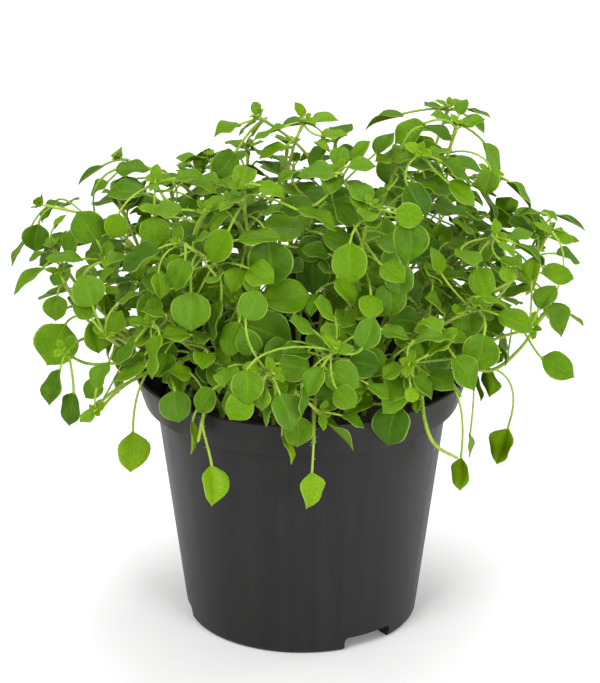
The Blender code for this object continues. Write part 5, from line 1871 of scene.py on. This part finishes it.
def make_pot():
    """The pot with round edges, in place of its solid."""
    lean = math.degrees(math.atan2(LEDGE_INNER_R - BASE_R, LEDGE_Z))
    flare = math.degrees(math.atan2(RIM_R - LEDGE_OUTER_R, POT_HEIGHT - LEDGE_Z))
    lip, edge, inner = LIP_ROUND, LEDGE_ROUND, CORNER_ROUND
    outside = [
        (0, FOOT_HOLLOW),
        (FOOT_HOLLOW_R, FOOT_HOLLOW),
        (FOOT_RING_R, 0.0),
        *arc(BASE_R - BASE_ROUND, BASE_ROUND, BASE_ROUND, -90, -lean, 9),
        *arc(LEDGE_INNER_R + inner - 0.05, LEDGE_Z - inner, inner, 180 - lean, 90, 4),
        *arc(LEDGE_OUTER_R - edge, LEDGE_Z + edge, edge, -90, -flare, 5),
        *arc(RIM_R - lip - 0.05, POT_HEIGHT - lip, lip, -flare, 90, 6),
        (0, POT_HEIGHT),
    ]
    wall = LEDGE_OUTER_R - WALL
    ledge = LEDGE_Z + WALL
    rise = (RIM_R - LEDGE_OUTER_R) / (POT_HEIGHT - LEDGE_Z)
    top = POT_HEIGHT + 5
    inside = [
        (0, FLOOR),
        (BASE_R - WALL - BASE_ROUND, FLOOR),
        (BASE_R - WALL, FLOOR + BASE_ROUND),
        *arc(LEDGE_INNER_R - WALL + edge, ledge - edge, edge, 180 - lean, 90, 4),
        *arc(wall - edge, ledge + edge, edge, -90, -flare, 4),
        (wall + rise * (POT_HEIGHT - LIP_DEEP - ledge), POT_HEIGHT - LIP_DEEP),
        (wall + rise * (POT_HEIGHT - ledge) + LIP_WIDER, POT_HEIGHT + 0.05),
        (wall + rise * (top - ledge) + LIP_WIDER, top),
        (0, top),
    ]
    pot = turned("pot_fine", outside, POT_FINE_SIDES)
    hollow = turned("hollow", inside, POT_FINE_SIDES)
    cut(hollow, [notch_block("block", angle, WALL) for angle in notch_angles()])
    notches = [notch_block("notch", angle, 0) for angle in notch_angles()]
    drains = []
    for angle in notch_angles():
        between = angle + math.pi / NOTCH_COUNT
        x = DRAIN_RING_R * math.sin(between)
        y = -DRAIN_RING_R * math.cos(between)
        drains.append(cylinder("drain", x, y, DRAIN_R, -2, FLOOR + 2, DRAIN_FINE_SIDES))
    cut(pot, [hollow, *notches, *drains])
    pot.data.materials.clear()
    pot.data.materials.append(pot_look())
    pot.data.shade_smooth()
    pot.data.set_sharp_from_angle(angle=POT_SHARP)
    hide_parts("pot")
    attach(pot, "root")


def notch_block(name, angle, spare):
    """A block with round top corners at the pot's foot, this much wider than the notch."""
    half = NOTCH_WIDTH / 2 + spare
    top = NOTCH_HEIGHT + spare
    corner = NOTCH_CORNER
    below = -5.0
    corners = [
        (half, below),
        *arc(half - corner, top - corner, corner, 0, 90, NOTCH_CORNER_PIECES),
        *arc(corner - half, top - corner, corner, 90, 180, NOTCH_CORNER_PIECES),
        (-half, below),
    ]
    out = Vector((math.sin(angle), -math.cos(angle), 0))
    beside = UP.cross(out)
    rings = [
        [out * radius + beside * across + UP * height for across, height in corners]
        for radius in (NOTCH_INNER_R - spare, RIM_R)
    ]
    return mesh_object(name, *loft(rings))


def cylinder(name, x, y, radius, bottom, top, sides):
    """An upright cylinder with its axis at x and y."""
    rings = [
        [
            Vector((x + radius * math.cos(a), y + radius * math.sin(a), z))
            for a in (math.tau * k / sides for k in range(sides))
        ]
        for z in (bottom, top)
    ]
    return mesh_object(name, *loft(rings))


def notch_angles():
    """Where the drain notches are, from the front round to the right."""
    return [NOTCH_FIRST_ANGLE + math.tau * k / NOTCH_COUNT for k in range(NOTCH_COUNT)]


def soil_height(x, y):
    """The soil's uneven surface."""
    waves = math.sin(x * 0.31 + 1.0) * math.cos(y * 0.27) + math.sin((x + y) * 0.17)
    lumps = noise.fractal(Vector((x, y, 7.0)) * LUMP_SCALE, 0.8, 2.0, 5)
    return SOIL_TOP + SOIL_RELIEF * waves * 0.5 + lumps * LUMP_HEIGHT


def make_soil():
    """The soil's lumpy body, and the crumbs and fibres on it."""
    share = (SOIL_TOP - FLOOR) / (LEDGE_Z + WALL - FLOOR)
    edge = BASE_R - WALL - SOIL_GAP + (LEDGE_INNER_R - BASE_R) * share
    low = LEDGE_INNER_R - WALL - SOIL_LOW_IN
    angles = [math.tau * s / SOIL_FINE_SIDES for s in range(SOIL_FINE_SIDES)]
    rows = []
    for k in range(SOIL_FINE_RINGS + 1):
        radius = 0.4 + (edge - 0.5) * k / SOIL_FINE_RINGS
        ring = [(radius * math.cos(a), radius * math.sin(a)) for a in angles]
        rows.append([(x, y, soil_height(x, y)) for x, y in ring])
    for radius, height in (
        (edge, SOIL_TOP - SOIL_EDGE_DEEP),
        (low, SOIL_BOTTOM + 2),
        (low - 3, SOIL_BOTTOM),
        (0.4, SOIL_BOTTOM),
    ):
        rows.append([(radius * math.cos(a), radius * math.sin(a), height) for a in angles])
    points, faces = tube(np.array(rows))
    mesh = Mesh()
    mesh.add(points, faces[:, ::-1], 0)
    soil = mesh.make("soil_fine", [soil_look()])
    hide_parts("soil")
    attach(soil, "root")
    crumbs = make_crumbs(edge)
    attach(crumbs, "root")


def make_crumbs(edge):
    """Rough grains, flat chips and thin fibres, half sunk in the soil."""
    rng = np.random.default_rng(CRUMB_SEED)
    ball_mesh = bmesh.new()
    bmesh.ops.create_icosphere(ball_mesh, subdivisions=2, radius=1.0)
    points = np.array([vert.co for vert in ball_mesh.verts])
    faces = np.array([[vert.index for vert in face.verts] for face in ball_mesh.faces])
    ball_mesh.free()
    mesh = Mesh()
    for k in range(CRUMBS):
        radius = (edge - 2.0) * math.sqrt(rng.random())
        angle = rng.uniform(0, math.tau)
        x, y = radius * math.cos(angle), radius * math.sin(angle)
        size = CRUMB_LEAST + CRUMB_SPREAD * rng.random() ** 3
        shape = rng.uniform(0.6, 1.0, 3) * size
        is_chip = k % CHIP_EVERY == 0
        is_fibre = k % FIBRE_EVERY == 0
        if is_chip:
            shape = shape * CHIP_SHAPE
        elif is_fibre:
            shape = np.array((rng.uniform(*FIBRE_LENGTHS), FIBRE_R, FIBRE_R))
        rough = 1 + CRUMB_ROUGH * rng.normal(size=(len(points), 1))
        turn = np.linalg.qr(rng.normal(size=(3, 3)))[0]
        if np.linalg.det(turn) < 0:
            turn[:, 0] *= -1
        if is_chip or is_fibre:
            flat = rng.uniform(0, math.tau)
            c, s = math.cos(flat), math.sin(flat)
            turn = np.array(((c, -s, 0), (s, c, 0), (0, 0, 1.0)))
        body = (points * rough * shape) @ turn.T
        body = body + (x, y, soil_height(x, y) + CRUMB_RISE * shape.min())
        mesh.add(body, faces, 0, tone=rng.random())
    return mesh.make("soil_crumbs", [crumb_look()])


def aimed(name, data, place, aim):
    """An object at a place, which looks at another."""
    made = bpy.data.objects.new(name, data)
    made.location = place
    made.rotation_euler = (Vector(aim) - Vector(place)).to_track_quat("-Z", "Y").to_euler()
    bpy.context.scene.collection.objects.link(made)


def make_stage():
    """A plain pale floor, soft lights and the camera."""
    corners = ((-1, -1), (1, -1), (1, 1), (-1, 1))
    points = [Vector((x, y, 0)) * FLOOR_REACH for x, y in corners]
    floor = mesh_object("floor", points, [(0, 1, 2, 3)])
    look = Look("floor", 0.9)
    look.set(Base_Color=FLOOR_COLOUR)
    floor.data.materials.append(look.material)
    world = bpy.data.worlds.new("studio")
    world.use_nodes = True
    sky = world.node_tree.nodes["Background"]
    sky.inputs["Color"].default_value = (1, 1, 1, 1)
    sky.inputs["Strength"].default_value = SKY_STRENGTH
    bpy.context.scene.world = world
    for name, place, aim_height, size, power in LIGHTS:
        light = bpy.data.lights.new(name, "AREA")
        light.shape = "SQUARE"
        light.size = size
        light.energy = power
        aimed(name, light, place, (0, 0, aim_height))
    camera = bpy.data.cameras.new("camera")
    camera.sensor_width = SENSOR_WIDTH
    camera.lens = VIEW_FOCAL * camera.sensor_width / FRAME_HEIGHT
    made = bpy.data.objects.new("camera", camera)
    made.location = VIEW_POINT * MM
    made.rotation_euler = (math.pi / 2 - VIEW_PITCH, 0, 0)
    bpy.context.scene.collection.objects.link(made)
    bpy.context.scene.camera = made
    bpy.context.scene.view_settings.view_transform = "Standard"


def main():
    """Makes every piece."""
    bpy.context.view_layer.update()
    make_stage()
    make_pot()
    make_soil()
    looks = [
        *(leaf_look(name, *colours) for name, *colours in LEAF_LOOKS),
        *(stem_look(name, *colours) for name, *colours in STEM_LOOKS),
        hair_look(),
    ]
    for number, stem in enumerate(grow_plant(), 1):
        make_stem(f"stem_{number:02d}", stem, number, looks)
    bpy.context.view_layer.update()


main()
